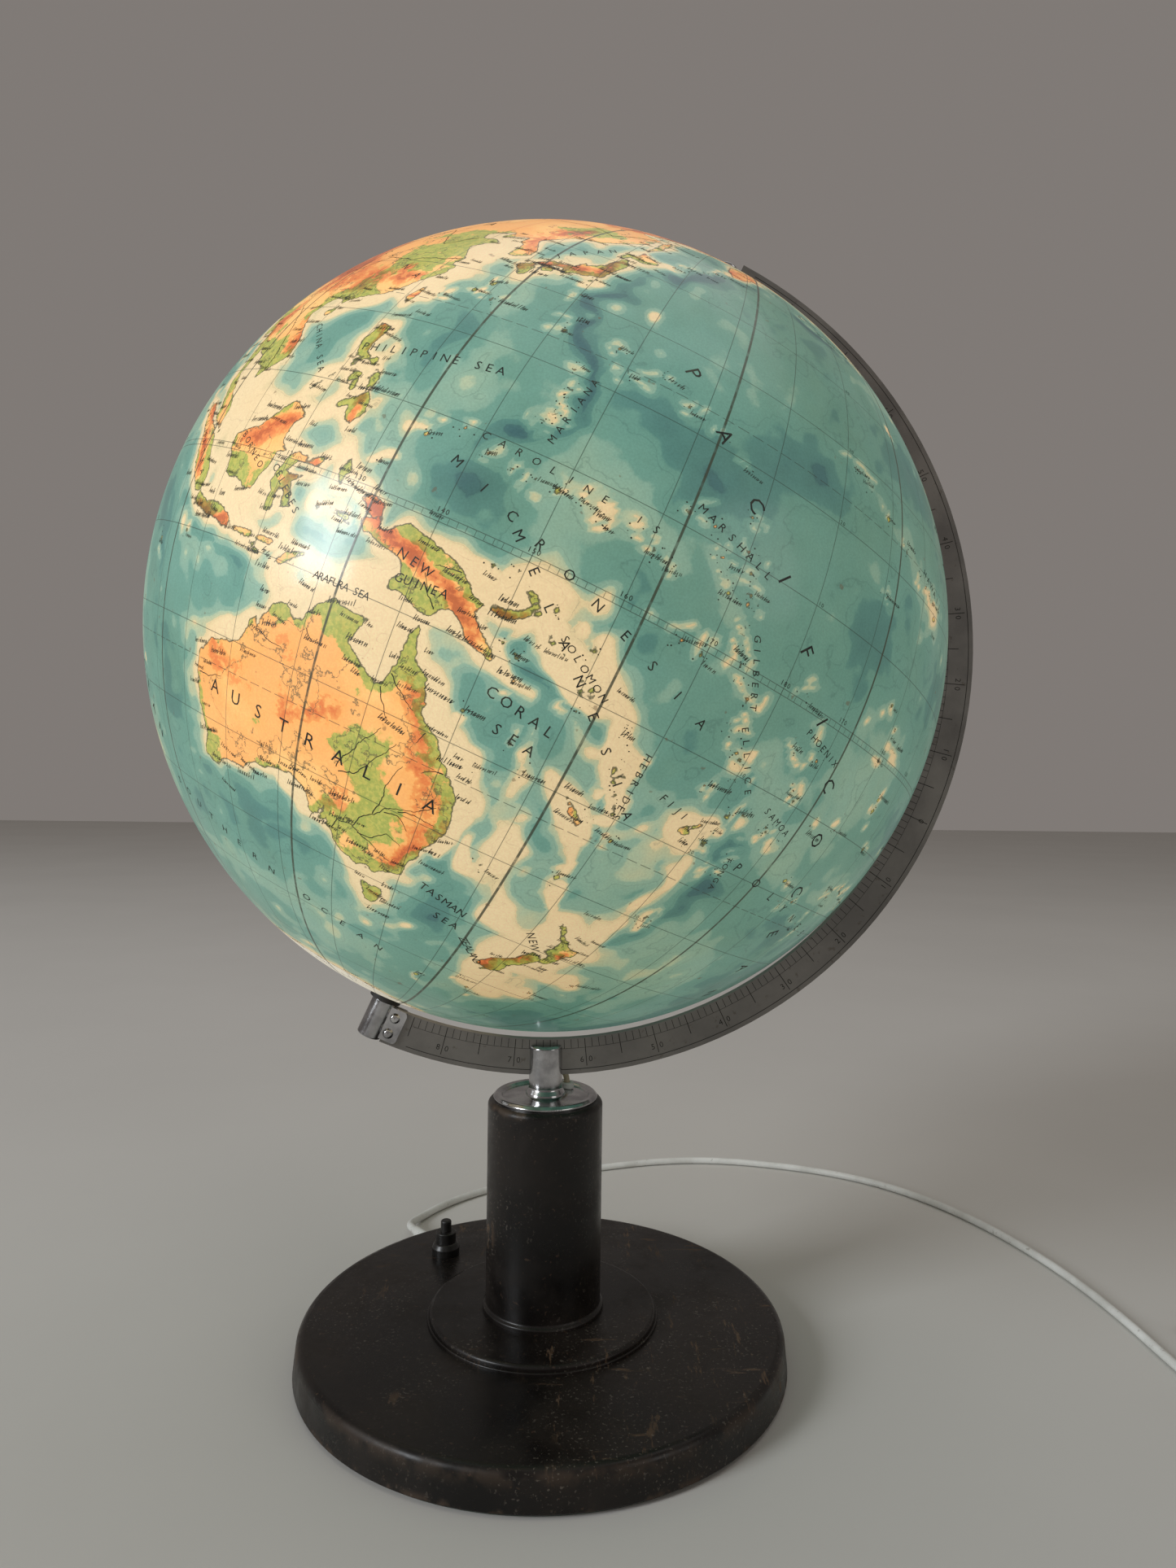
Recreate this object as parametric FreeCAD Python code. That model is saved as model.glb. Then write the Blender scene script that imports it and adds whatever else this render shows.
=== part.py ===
"""Lit desktop globe: a ball that turns on a tilted half ring, carried by a column on a round base.

Origin: centre of the felt's underside. +Z is up, and the half ring lies in the XZ plane with its
lower (south) end towards -X. Millimetres. Parts on the tilted axis are drawn about the ball's
centre with the axis upright and the ring on +X, and on_axis() then leans them into place.
"""

import FreeCAD
import Part
import math
import os

# ---- driving dimensions ----
BALL_RADIUS = 165.0
BALL_HEIGHT = 310.4          # centre of the ball above the table
AXIS_TILT = 24.4             # lean of the axis: 23.4 degrees nominal, plus the ring's set in its post
SHELL_WALL = 1.6

RING_INNER_RADIUS = 172.8
RING_OUTER_RADIUS = 188.4
RING_THICKNESS = 4.0

BASE_RADIUS = 106.4
BASE_TOP = 16.6
BASE_WALL = 4.0
FELT_THICKNESS = 1.5
COVER_THICKNESS = 1.4
BOSS_RADIUS = 49.6
BOSS_TOP = 20.4

COLUMN_RADIUS = 25.2
COLUMN_BORE_RADIUS = 20.5
COLUMN_TOP = 111.6
CAP_TOP = 113.6
POST_RADIUS = 7.4
POST_TOP = 135.2
ROD_RADIUS = 4.0

TUBE_RADIUS = 4.0            # hollow axle that carries the lamp
TUBE_BORE_RADIUS = 3.0
RUNNING_GAP = 0.05           # radial clearance of the ball's bushes on the axle and the pin
END_PLAY = 0.3
PIN_RADIUS = 2.5
BARREL_RADIUS = 5.4
BARREL_NEAR = 170.8          # distances from the ball's centre along the axis
BARREL_FAR = 188.0
NORTH_BARREL_FAR = 184.4
CHEEK_THICKNESS = 1.2
CHEEK_LENGTH = 12.2          # how far the bracket's cheeks reach over the ring's end
RIVET_RADIUS = 1.2

SWITCH_X = -47.7
SWITCH_Y = 57.6
SWITCH_TRAVEL = 3.0
PLUNGER_RADIUS = 2.6
PLUNGER_TOP = 33.2

CORD_RADIUS = 2.0
CORD_EXIT_HEIGHT = 7.6
CORD_EXIT_AZIMUTH = 123.0    # where the lead leaves the base, counted from +X towards +Y
GLAND_LENGTH = 20.0          # strain relief outside the base
COIL_CENTRE = (302.0, -88.0)
COIL_TURN_RADIUS = 22.5      # at the middle of the turns
COIL_HALF_WIDTH = 6.6
COIL_LOW, COIL_HIGH = 0.6, 13.0
TIE_WIDTH = 5.0
PLUG_REAR = (321.6, -51.0, 7.0)
PLUG_AZIMUTH = 105.0
LEAD_RADIUS = 1.3            # inner lead up the column and behind the ring

# the lead on the table, point by point from the strain relief to the coil
CORD_ROUTE = [
    (-71.0, 109.2, 7.2),
    (-72.8, 120.5, 4.4),
    (-69.5, 132.5, 2.1),
    (-60.0, 148.0, 2.1),
    (-43.0, 166.0, 2.1),
    (-18.0, 183.0, 2.1),
    (11.0, 198.0, 2.1),
    (43.0, 210.0, 2.1),
    (77.0, 219.0, 2.1),
    (111.0, 220.5, 2.1),
    (147.0, 212.5, 2.1),
    (183.0, 198.5, 2.1),
    (213.0, 177.0, 2.1),
    (235.5, 148.0, 2.1),
    (252.0, 115.0, 2.1),
    (262.5, 82.0, 2.1),
    (269.5, 48.0, 2.1),
    (272.5, 14.0, 2.1),
    (273.0, -20.0, 2.1),
    (274.5, -48.0, 2.1),
    (277.0, -73.0, 2.6),
]
# from the coil to the plug beside it
TAIL_ROUTE = [
    (328.4, -84.0, 2.6),
    (329.6, -75.0, 2.6),
    (327.8, -65.6, 4.8),
    (323.2, -56.8, 6.8),
]
# the inner lead, from the switch under the base floor, up the column and out through the cap
COLUMN_LEAD_ROUTE = [
    (-41.0, 47.0, 7.0),
    (-31.0, 31.0, 7.0),
    (-20.0, 16.5, 7.0),
    (-8.0, 13.6, 8.0),
    (0.0, 15.0, 18.0),
    (-2.0, 15.6, 46.0),
    (3.0, 14.8, 76.0),
    (7.0, 11.4, 94.0),
    (9.6, 8.4, 105.0),
    (9.6, 8.4, 120.6),
    (1.6, 11.8, 124.6),
    (-10.0, 9.4, 127.0),
]

O = FreeCAD.Vector(0, 0, 0)
Z = FreeCAD.Vector(0, 0, 1)
node_count = 0


def vec(point):
    return FreeCAD.Vector(*point)


def save(name, *solids):
    """Write one node: a single solid, or a group of separate equal pieces."""
    global node_count
    for solid in solids:
        assert solid.isValid() and len(solid.Solids) == 1, name
    shape = solids[0] if len(solids) == 1 else Part.makeCompound(list(solids))
    shape.exportStep(f"parts/{name}.step")
    node_count += 1


def tangent_path(points, radii):
    """Straight runs joined by tangent arcs; radii[i] rounds corner i, and 0 leaves it sharp."""
    edges = []
    start = points[0]
    for i in range(1, len(points) - 1):
        corner, after = points[i], points[i + 1]
        if radii[i] == 0:
            edges.append(Part.LineSegment(start, corner).toShape())
            start = corner
            continue
        to_start = (points[i - 1] - corner).normalize()
        to_after = (after - corner).normalize()
        half = (math.pi - to_start.getAngle(to_after)) / 2
        reach = radii[i] * math.tan(half)
        arc_in, arc_out = corner + to_start * reach, corner + to_after * reach
        bisector = (to_start + to_after).normalize()
        centre = corner + bisector * (radii[i] / math.cos(half))
        middle = centre - bisector * radii[i]
        if (arc_in - start).Length > 1e-6:
            edges.append(Part.LineSegment(start, arc_in).toShape())
        edges.append(Part.Arc(arc_in, middle, arc_out).toShape())
        start = arc_out
    edges.append(Part.LineSegment(start, points[-1]).toShape())
    return Part.Wire(edges)


def turned(outline):
    """Revolve an outline of (radius, height) or (radius, height, corner radius) points about Z."""
    # the path starts half-way along the first side, so that every corner can be rounded
    corners = [FreeCAD.Vector(p[0], 0, p[1]) for p in outline]
    rounds = [p[2] if len(p) == 3 else 0 for p in outline]
    middle = (corners[0] + corners[-1]) * 0.5
    wire = tangent_path([middle] + corners + [middle], [0] + rounds + [0])
    return Part.Face(wire).revolve(O, Z, 360).Solids[0]


def disc(radius, low, high, centre=(0, 0), direction=Z):
    return Part.makeCylinder(radius, high - low, vec((centre[0], centre[1], low)), direction)


def ring(outer, inner, low, high, centre=(0, 0)):
    return disc(outer, low, high, centre).cut(disc(inner, low, high, centre)).Solids[0]


def hexagon(across_flats, low, high, hole_radius):
    """A hexagon nut about Z."""
    corner = across_flats / math.sqrt(3)
    points = [(corner * math.cos(math.radians(60 * i)), corner * math.sin(math.radians(60 * i)), low)
              for i in range(7)]
    face = Part.Face(Part.makePolygon([vec(p) for p in points]))
    nut = face.extrude(Z * (high - low))
    return nut.cut(disc(hole_radius, low, high)).Solids[0]


def block(size, low_corner):
    return Part.makeBox(*size, vec(low_corner))


def on_axis(shape):
    """Lean a piece drawn about the ball's centre, axis upright, into its place."""
    placed = shape.copy()
    placed.rotate(O, FreeCAD.Vector(0, 1, 0), AXIS_TILT)
    placed.translate(Z * BALL_HEIGHT)
    return placed


def south(shape):
    """Mirror a piece drawn on the north (+Z) side to the south side."""
    return shape.mirror(O, Z)


def polar(radius, degrees, height=0.0):
    angle = math.radians(degrees)
    return (radius * math.cos(angle), radius * math.sin(angle), height)


def tube_along(points, radius, bend_share=0.45):
    """Round tube along hand-set points, each corner as large as its two runs allow."""
    radii = [0]
    for before, corner, after in zip(points, points[1:], points[2:]):
        shorter = min((corner - before).Length, (after - corner).Length)
        turn = (corner - before).getAngle(after - corner)
        radii.append(bend_share * shorter / math.tan(turn / 2))
    path = tangent_path(points, radii + [0])
    start, heading = points[0], (points[1] - points[0]).normalize()
    section = Part.Wire([Part.makeCircle(radius, start, heading)])
    tube = path.makePipeShell([section], True, True)
    expected = math.pi * radius ** 2 * path.Length
    print(f"tube of {path.Length:.0f} mm, tightest bend {min(radii[1:]):.0f} mm,"
          f" volume {tube.Volume / expected:.4f} of section times length")
    print("  bends:", " ".join(f"{r:.0f}" for r in radii[1:]))
    return tube.Solids[0]


# ---- base ----

BOTTOM_RIM = FELT_THICKNESS
FLOOR_UNDERSIDE = BASE_TOP - BASE_WALL
GLAND_OUTER = polar(BASE_RADIUS - 2.2, CORD_EXIT_AZIMUTH, CORD_EXIT_HEIGHT)
EXIT_DIRECTION = vec(polar(1.0, CORD_EXIT_AZIMUTH))
LEAD_HOLE = (-1.6, 15.2)      # inner lead, from the base up into the column
SCREW_CIRCLE = 88.0
SCREW_AZIMUTHS = (30.0, 180.0, 270.0)


def base_disc():
    """Moulded base: domed edge, raised boss with a lip round its foot, hollow underneath."""
    inner = BASE_RADIUS - BASE_WALL
    body = turned([
        (0, BOSS_TOP), (BOSS_RADIUS, BOSS_TOP, 1.6), (BOSS_RADIUS, BASE_TOP + 1.5),
        (BOSS_RADIUS + 0.9, BASE_TOP + 1.5, 0.5), (BOSS_RADIUS + 0.9, BASE_TOP + 0.3),
        (BASE_RADIUS - 1.6, BASE_TOP - 0.4, 3.6), (BASE_RADIUS, BOTTOM_RIM, 0.8),
        (inner, BOTTOM_RIM), (inner, FLOOR_UNDERSIDE, 2.0), (0, FLOOR_UNDERSIDE),
    ])
    for azimuth in SCREW_AZIMUTHS:
        x, y, _ = polar(SCREW_CIRCLE, azimuth)
        body = body.fuse(disc(4.5, BOTTOM_RIM + COVER_THICKNESS, FLOOR_UNDERSIDE + 0.5, (x, y)))
        body = body.cut(disc(1.5, BOTTOM_RIM, FLOOR_UNDERSIDE - 1.5, (x, y)))
    body = body.cut(disc(ROD_RADIUS + 0.4, 0, BOSS_TOP + 1))
    body = body.cut(disc(4.6, 0, BOSS_TOP + 1, LEAD_HOLE))
    body = body.cut(disc(5.0, 0, BASE_TOP + 2, (SWITCH_X, SWITCH_Y)))
    body = body.cut(disc(7.2, BASE_TOP, BASE_TOP + 2, (SWITCH_X, SWITCH_Y)))
    gland_hole = Part.makeCylinder(
        3.6, 20, vec(polar(BASE_RADIUS - 16, CORD_EXIT_AZIMUTH, CORD_EXIT_HEIGHT)), EXIT_DIRECTION)
    # a flat seat round the lead's hole, which the strain relief's flange bears on
    seat = Part.makeCylinder(5.2, 10, vec(GLAND_OUTER), EXIT_DIRECTION)
    return body.cut(gland_hole).cut(seat).removeSplitter().Solids[0]


def bottom_cover():
    cover = disc(BASE_RADIUS - BASE_WALL - 0.3, BOTTOM_RIM, BOTTOM_RIM + COVER_THICKNESS)
    for azimuth in SCREW_AZIMUTHS:
        x, y, _ = polar(SCREW_CIRCLE, azimuth)
        cover = cover.cut(disc(1.6, 0, BOTTOM_RIM + COVER_THICKNESS + 1, (x, y)))
    return cover


def cover_screw(azimuth):
    """Flat-headed self-cutting screw, its head sunk in the felt."""
    x, y, _ = polar(SCREW_CIRCLE, azimuth)
    head = turned([(0, 0.5), (3.2, 0.5, 0.3), (3.2, BOTTOM_RIM), (0, BOTTOM_RIM)])
    shank = disc(1.45, BOTTOM_RIM - 0.2, FLOOR_UNDERSIDE - 2.0)
    slot = block((8, 0.7, 0.5), (-4, -0.35, 0.3))
    screw = head.fuse(shank).cut(slot)
    screw.translate(FreeCAD.Vector(x, y, 0))
    return screw.removeSplitter().Solids[0]


def felt_pad():
    pad = disc(BASE_RADIUS - 2.4, 0, FELT_THICKNESS)
    for azimuth in SCREW_AZIMUTHS:
        x, y, _ = polar(SCREW_CIRCLE, azimuth)
        pad = pad.cut(disc(3.6, 0.3, FELT_THICKNESS, (x, y)))
    return pad


def ballast_ring():
    """Cast weight that keeps the top-heavy globe upright, with a cut-out for the switch and leads."""
    weight = ring(78.0, 28.0, BOTTOM_RIM + COVER_THICKNESS, FLOOR_UNDERSIDE - 0.6)
    channel = block((44, 92, 12), (SWITCH_X - 14, 4, 0))
    return weight.cut(channel).Solids[0]


def base_parts():
    save("base_disc", base_disc())
    save("bottom_cover", bottom_cover())
    save("cover_screws", *[cover_screw(azimuth) for azimuth in SCREW_AZIMUTHS])
    save("felt_pad", felt_pad())
    save("ballast_ring", ballast_ring())


# ---- column, tie rod and post ----

NUT_HEIGHT = 5.0
WASHER_HEIGHT = 1.2


def column():
    """Moulded tube with a rounded shoulder and a small ring moulding round its foot."""
    return turned([
        (COLUMN_BORE_RADIUS, BOSS_TOP), (COLUMN_RADIUS + 1.3, BOSS_TOP),
        (COLUMN_RADIUS + 1.3, BOSS_TOP + 1.6, 0.9), (COLUMN_RADIUS, BOSS_TOP + 2.6, 1.2),
        (COLUMN_RADIUS, COLUMN_TOP, 2.6), (COLUMN_BORE_RADIUS, COLUMN_TOP),
    ])


def column_cap():
    """Pressed metal cap: a bead round the edge and a shallow dish that rises to the post."""
    cap = turned([
        (ROD_RADIUS + 0.2, COLUMN_TOP), (22.6, COLUMN_TOP), (22.9, COLUMN_TOP + 1.2, 0.6),
        (21.6, CAP_TOP + 0.4, 1.2), (19.4, CAP_TOP + 0.1, 0.6), (18.6, CAP_TOP - 0.9, 0.6),
        (POST_RADIUS + 2.0, CAP_TOP), (ROD_RADIUS + 0.2, CAP_TOP),
    ])
    skirt = ring(COLUMN_BORE_RADIUS - 0.2, COLUMN_BORE_RADIUS - 1.4, COLUMN_TOP - 6, COLUMN_TOP)
    lead_hole = disc(2.6, COLUMN_TOP - 8, CAP_TOP + 2, OUTLET)
    return cap.fuse(skirt).cut(lead_hole).removeSplitter().Solids[0]


OUTLET = (9.6, 8.4)          # where the inner lead comes up through the cap, behind the post


def arc_post():
    """Turned post with a flared foot, slotted for the ring."""
    post = turned([
        (0, CAP_TOP), (POST_RADIUS + 1.4, CAP_TOP), (POST_RADIUS + 1.2, CAP_TOP + 0.7, 0.4),
        (POST_RADIUS, CAP_TOP + 2.6, 1.5), (POST_RADIUS, POST_TOP, 1.5), (0, POST_TOP),
    ])
    slot = ring_blank(RING_THICKNESS, RING_OUTER_RADIUS, RING_INNER_RADIUS - 6)
    thread = disc(ROD_RADIUS, CAP_TOP, BALL_HEIGHT - RING_OUTER_RADIUS - 1.6)
    screw_hole = Part.makeCylinder(1.5, 10, vec((0, 0, POST_SCREW_HEIGHT)), FreeCAD.Vector(0, 1, 0))
    return post.cut(slot).cut(thread).cut(screw_hole).Solids[0]


POST_SCREW_HEIGHT = 130.4


def post_screw():
    """Cheese-headed screw that clamps the ring from behind."""
    shank = Part.makeCylinder(1.5, POST_RADIUS - 2.0, vec((0, 2.0, POST_SCREW_HEIGHT)),
                              FreeCAD.Vector(0, 1, 0))
    head = Part.makeCylinder(2.8, 1.8, vec((0, POST_RADIUS, POST_SCREW_HEIGHT)),
                             FreeCAD.Vector(0, 1, 0))
    slot = block((6, 0.9, 0.8), (-3, POST_RADIUS + 0.9, POST_SCREW_HEIGHT - 0.4))
    return shank.fuse(head).cut(slot).removeSplitter().Solids[0]


def column_parts():
    rod_low = FLOOR_UNDERSIDE - WASHER_HEIGHT - NUT_HEIGHT - 1.5
    rod_high = BALL_HEIGHT - RING_OUTER_RADIUS - 1.6
    save("column", column())
    save("column_cap", column_cap())
    save("arc_post", arc_post())
    save("post_screw", post_screw())
    save("tie_rod", disc(ROD_RADIUS, rod_low, rod_high))
    save("tie_washer", ring(9.6, ROD_RADIUS + 0.2, FLOOR_UNDERSIDE - WASHER_HEIGHT, FLOOR_UNDERSIDE))
    nut_top = FLOOR_UNDERSIDE - WASHER_HEIGHT
    save("tie_nut", hexagon(13.0, nut_top - NUT_HEIGHT, nut_top, ROD_RADIUS))


# ---- half ring and its end brackets ----

ARC_END = BARREL_RADIUS + 0.1
RIVET_REACH = 7.6            # from the axis to the rivets


def ring_blank(thickness, outer, inner):
    """Half ring about the ball's centre on the leaned axis, open towards the low side."""
    whole = Part.makeCylinder(outer, thickness, vec((0, -thickness / 2, 0)), FreeCAD.Vector(0, 1, 0))
    hole = Part.makeCylinder(inner, thickness, vec((0, -thickness / 2, 0)), FreeCAD.Vector(0, 1, 0))
    half = block((outer * 1.1, thickness, outer * 2.2), (ARC_END, -thickness / 2, -outer * 1.1))
    return on_axis(whole.cut(hole).common(half)).Solids[0]


def rivet_spots(near, far):
    """Heights of a bracket's two rivets on the axis."""
    spread = (far - near) / 2
    return (near + spread * 0.62, far - spread * 0.55)


SOUTH_RIVETS = rivet_spots(BARREL_NEAR, BARREL_FAR)
NORTH_RIVETS = rivet_spots(BARREL_NEAR, NORTH_BARREL_FAR)


def rivet_bore(height, length=20.0):
    return Part.makeCylinder(RIVET_RADIUS, length, vec((RIVET_REACH, -length / 2, height)),
                             FreeCAD.Vector(0, 1, 0))


def meridian_arc():
    arc = ring_blank(RING_THICKNESS, RING_OUTER_RADIUS, RING_INNER_RADIUS)
    for height in SOUTH_RIVETS:
        arc = arc.cut(on_axis(south(rivet_bore(height))))
    for height in NORTH_RIVETS:
        arc = arc.cut(on_axis(rivet_bore(height)))
    return arc.Solids[0]


def end_bracket(far, bore_radius, rivets, cheek_near, cheek_far):
    """Barrel on the axis with two cheeks that clasp the end of the ring."""
    barrel = turned([
        (bore_radius, BARREL_NEAR), (BARREL_RADIUS, BARREL_NEAR, 0.5),
        (BARREL_RADIUS, far, 0.6), (bore_radius, far),
    ])
    bracket = barrel
    for side in (-1, 1):
        face = side * RING_THICKNESS / 2
        low = min(face, face + side * CHEEK_THICKNESS)
        cheek = block((CHEEK_LENGTH - 3.0, CHEEK_THICKNESS, cheek_far - cheek_near),
                      (3.0, low, cheek_near))
        edges = [e for e in cheek.Edges if abs(e.CenterOfMass.x - CHEEK_LENGTH) < 1e-6
                 and abs(e.Length - CHEEK_THICKNESS) < 1e-6]
        bracket = bracket.fuse(cheek.makeFillet(1.8, edges))
    slot = block((30, RING_THICKNESS, far), (ARC_END, -RING_THICKNESS / 2, BARREL_NEAR - 20))
    bracket = bracket.cut(slot)
    bracket = bracket.cut(Part.makeCylinder(bore_radius, far, vec((0, 0, BARREL_NEAR - 20))))
    for height in rivets:
        bracket = bracket.cut(rivet_bore(height))
    return bracket.removeSplitter().Solids[0]


def rivet(height):
    """Dome-headed rivet through both cheeks and the ring."""
    half = RING_THICKNESS / 2 + CHEEK_THICKNESS
    dome = 1.3
    body = turned([
        (0, -half - dome), (1.5, -half - dome * 0.8, 0.8), (2.3, -half), (RIVET_RADIUS, -half),
        (RIVET_RADIUS, half), (2.3, half), (1.5, half + dome * 0.8, 0.8), (0, half + dome),
    ])
    body.rotate(O, FreeCAD.Vector(1, 0, 0), 90)
    body.translate(FreeCAD.Vector(RIVET_REACH, 0, height))
    return body


def ring_parts():
    save("meridian_arc", meridian_arc())
    lead_entry = Part.makeCylinder(LEAD_RADIUS + 0.2, 9, vec((0, 0, -LEAD_ENTRY)),
                                   FreeCAD.Vector(0, 1, 0))
    south_bracket = south(end_bracket(BARREL_FAR, TUBE_RADIUS, SOUTH_RIVETS,
                                      RING_INNER_RADIUS - 0.6, RING_OUTER_RADIUS - 1.6))
    save("south_bracket", on_axis(south_bracket.cut(lead_entry).Solids[0]))
    save("north_bracket", on_axis(end_bracket(NORTH_BARREL_FAR, PIN_RADIUS, NORTH_RIVETS,
                                              RING_INNER_RADIUS - 0.6, NORTH_BARREL_FAR - 0.6)))
    save("south_rivets", *[on_axis(south(rivet(height))) for height in SOUTH_RIVETS])
    save("north_rivets", *[on_axis(rivet(height)) for height in NORTH_RIVETS])


# ---- axle, lamp and pin inside the ball ----

TUBE_INNER_END = 66.0
HOLDER_LOW, HOLDER_HIGH = -70.0, -33.0
HOLDER_RADIUS = 12.5
BULB_CAP_RADIUS = 7.0
BULB_RADIUS = 22.5
BULB_CENTRE = 2.0
BULB_WALL = 0.8
BUSH_FLANGE = 1.2
SHELL_CLEARANCE = 0.2
LEAD_ENTRY = 179.7           # where the inner lead enters the south barrel, along the axis


def lamp_tube():
    low, high = -(BARREL_FAR - 0.8), -TUBE_INNER_END
    tube = ring(TUBE_RADIUS, TUBE_BORE_RADIUS, low, high)
    entry = Part.makeCylinder(LEAD_RADIUS + 0.2, 9, vec((0, 0, -LEAD_ENTRY)),
                              FreeCAD.Vector(0, 1, 0))
    return tube.cut(entry).Solids[0]


def lamp_holder():
    """Moulded screw socket on the inner end of the tube."""
    return turned([
        (TUBE_RADIUS, HOLDER_LOW), (HOLDER_RADIUS - 2.5, HOLDER_LOW, 1.5),
        (HOLDER_RADIUS - 1.0, HOLDER_LOW + 12, 1.0), (HOLDER_RADIUS, HOLDER_LOW + 14),
        (HOLDER_RADIUS, HOLDER_HIGH, 1.0), (BULB_CAP_RADIUS + 0.1, HOLDER_HIGH),
        (BULB_CAP_RADIUS + 0.1, HOLDER_LOW + 9), (TUBE_RADIUS, HOLDER_LOW + 9),
    ])


def bulb_glass():
    """Round bulb: a thin sphere drawn down into a neck that sits in the screw cap."""
    neck_low = HOLDER_HIGH - 6.0

    def body(offset):
        ball = Part.makeSphere(BULB_RADIUS - offset, vec((0, 0, BULB_CENTRE)))
        neck = turned([(0, neck_low), (6.2 - offset, neck_low), (6.2 - offset, neck_low + 9.0),
                       (13.0 - offset, BULB_CENTRE - 18.0), (0, BULB_CENTRE - 18.0)])
        return ball.fuse(neck)

    return body(0).cut(body(BULB_WALL)).removeSplitter().Solids[0]


def bulb_cap():
    low = HOLDER_LOW + 9.6
    return turned([
        (0, low), (3.2, low, 0.5), (3.2, low + 1.6), (BULB_CAP_RADIUS, low + 5.0, 0.8),
        (BULB_CAP_RADIUS, HOLDER_HIGH + 1.0), (6.2, HOLDER_HIGH + 1.0), (6.2, HOLDER_HIGH - 6.0),
        (0, HOLDER_HIGH - 6.0),
    ])


def bulb_filament():
    """Glass stem and the filament hoop on its two support wires."""
    stem = disc(2.2, HOLDER_HIGH - 6.0, HOLDER_HIGH + 12.0)
    wire_top = BULB_CENTRE + 2.0
    path = tangent_path([vec(p) for p in (
        (-1.2, 0, HOLDER_HIGH + 11.0), (-6.0, 0, HOLDER_HIGH + 22.0), (-8.0, 0, wire_top),
        (8.0, 0, wire_top), (6.0, 0, HOLDER_HIGH + 22.0), (1.2, 0, HOLDER_HIGH + 11.0))],
        [0, 3.0, 2.0, 2.0, 3.0, 0])
    heading = (path.OrderedVertexes[1].Point - path.OrderedVertexes[0].Point).normalize()
    section = Part.Wire([Part.makeCircle(0.35, path.OrderedVertexes[0].Point, heading)])
    hoop = path.makePipeShell([section], True, True).Solids[0]
    return stem.fuse(hoop).removeSplitter().Solids[0]


def lamp_parts():
    save("lamp_tube", on_axis(lamp_tube()))
    save("lamp_holder", on_axis(lamp_holder()))
    save("bulb_glass", on_axis(bulb_glass()))
    save("bulb_cap", on_axis(bulb_cap()))
    save("bulb_filament", on_axis(bulb_filament()))
    bush_outer_face = BALL_RADIUS + SHELL_CLEARANCE + BUSH_FLANGE
    spacer = ring(7.0, TUBE_RADIUS, bush_outer_face + END_PLAY, BARREL_NEAR)
    save("south_spacer", on_axis(south(spacer)))
    collar = ring(6.6, TUBE_RADIUS, BUSH_INNER_END - END_PLAY - 5.0, BUSH_INNER_END - END_PLAY)
    save("tube_collar", on_axis(south(collar)))
    washer = ring(5.6, PIN_RADIUS, bush_outer_face + END_PLAY, BARREL_NEAR)
    save("north_spacer", on_axis(washer))
    save("north_pin", on_axis(north_pin()))


def north_pin():
    """Slotted pivot screw through the north barrel into the ball's upper bush."""
    pin = turned([
        (0, BALL_RADIUS - 8.0), (PIN_RADIUS, BALL_RADIUS - 8.0, 0.6), (PIN_RADIUS, NORTH_BARREL_FAR),
        (4.2, NORTH_BARREL_FAR), (4.2, NORTH_BARREL_FAR + 1.4, 0.7), (0, NORTH_BARREL_FAR + 1.4),
    ])
    slot = block((10, 0.8, 0.8), (-5, -0.4, NORTH_BARREL_FAR + 0.8))
    return pin.cut(slot).Solids[0]


# ---- the ball ----

BUSH_INNER_END = BALL_RADIUS - 6.0
SOUTH_HOLE_RADIUS = 8.0
NORTH_HOLE_RADIUS = 6.0
BAND_HALF_WIDTH = 7.0
BAND_WALL = 1.2


def half_shell(hole_radius):
    """Northern half of the ball, with the hole for its bush at the pole."""
    ball = Part.makeSphere(BALL_RADIUS).cut(Part.makeSphere(BALL_RADIUS - SHELL_WALL))
    upper = block((400, 400, 200), (-200, -200, 0))
    return ball.common(upper).cut(disc(hole_radius, 0, 200)).Solids[0]


def equator_band():
    """Hoop inside the seam that holds the two halves together."""
    inner_wall = math.sqrt((BALL_RADIUS - SHELL_WALL) ** 2 - BAND_HALF_WIDTH ** 2) - 0.02
    return ring(inner_wall, inner_wall - BAND_WALL, -BAND_HALF_WIDTH, BAND_HALF_WIDTH)


def pole_bush(hole_radius, bore_radius, flange_radius):
    """Turned bush drawn on the north side: spigot in the shell, flange outside it."""
    flange_low = BALL_RADIUS + SHELL_CLEARANCE
    return turned([
        (bore_radius, BUSH_INNER_END), (hole_radius, BUSH_INNER_END, 0.5),
        (hole_radius, flange_low), (flange_radius, flange_low, 0.2),
        (flange_radius, flange_low + BUSH_FLANGE, 0.5), (bore_radius, flange_low + BUSH_FLANGE),
    ])


def ball_parts():
    save("north_shell", on_axis(half_shell(NORTH_HOLE_RADIUS)))
    save("south_shell", on_axis(south(half_shell(SOUTH_HOLE_RADIUS))))
    save("equator_band", on_axis(equator_band()))
    save("north_bush", on_axis(pole_bush(NORTH_HOLE_RADIUS, PIN_RADIUS + RUNNING_GAP, 9.0)))
    save("south_bush", on_axis(south(pole_bush(SOUTH_HOLE_RADIUS, TUBE_RADIUS + RUNNING_GAP, 12.0))))


# ---- push-button switch ----

SWITCH_COLLAR_TOP = 22.6
SWITCH_NECK_TOP = 27.6


def at_switch(shape):
    placed = shape.copy()
    placed.translate(FreeCAD.Vector(SWITCH_X, SWITCH_Y, 0))
    return placed


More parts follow.
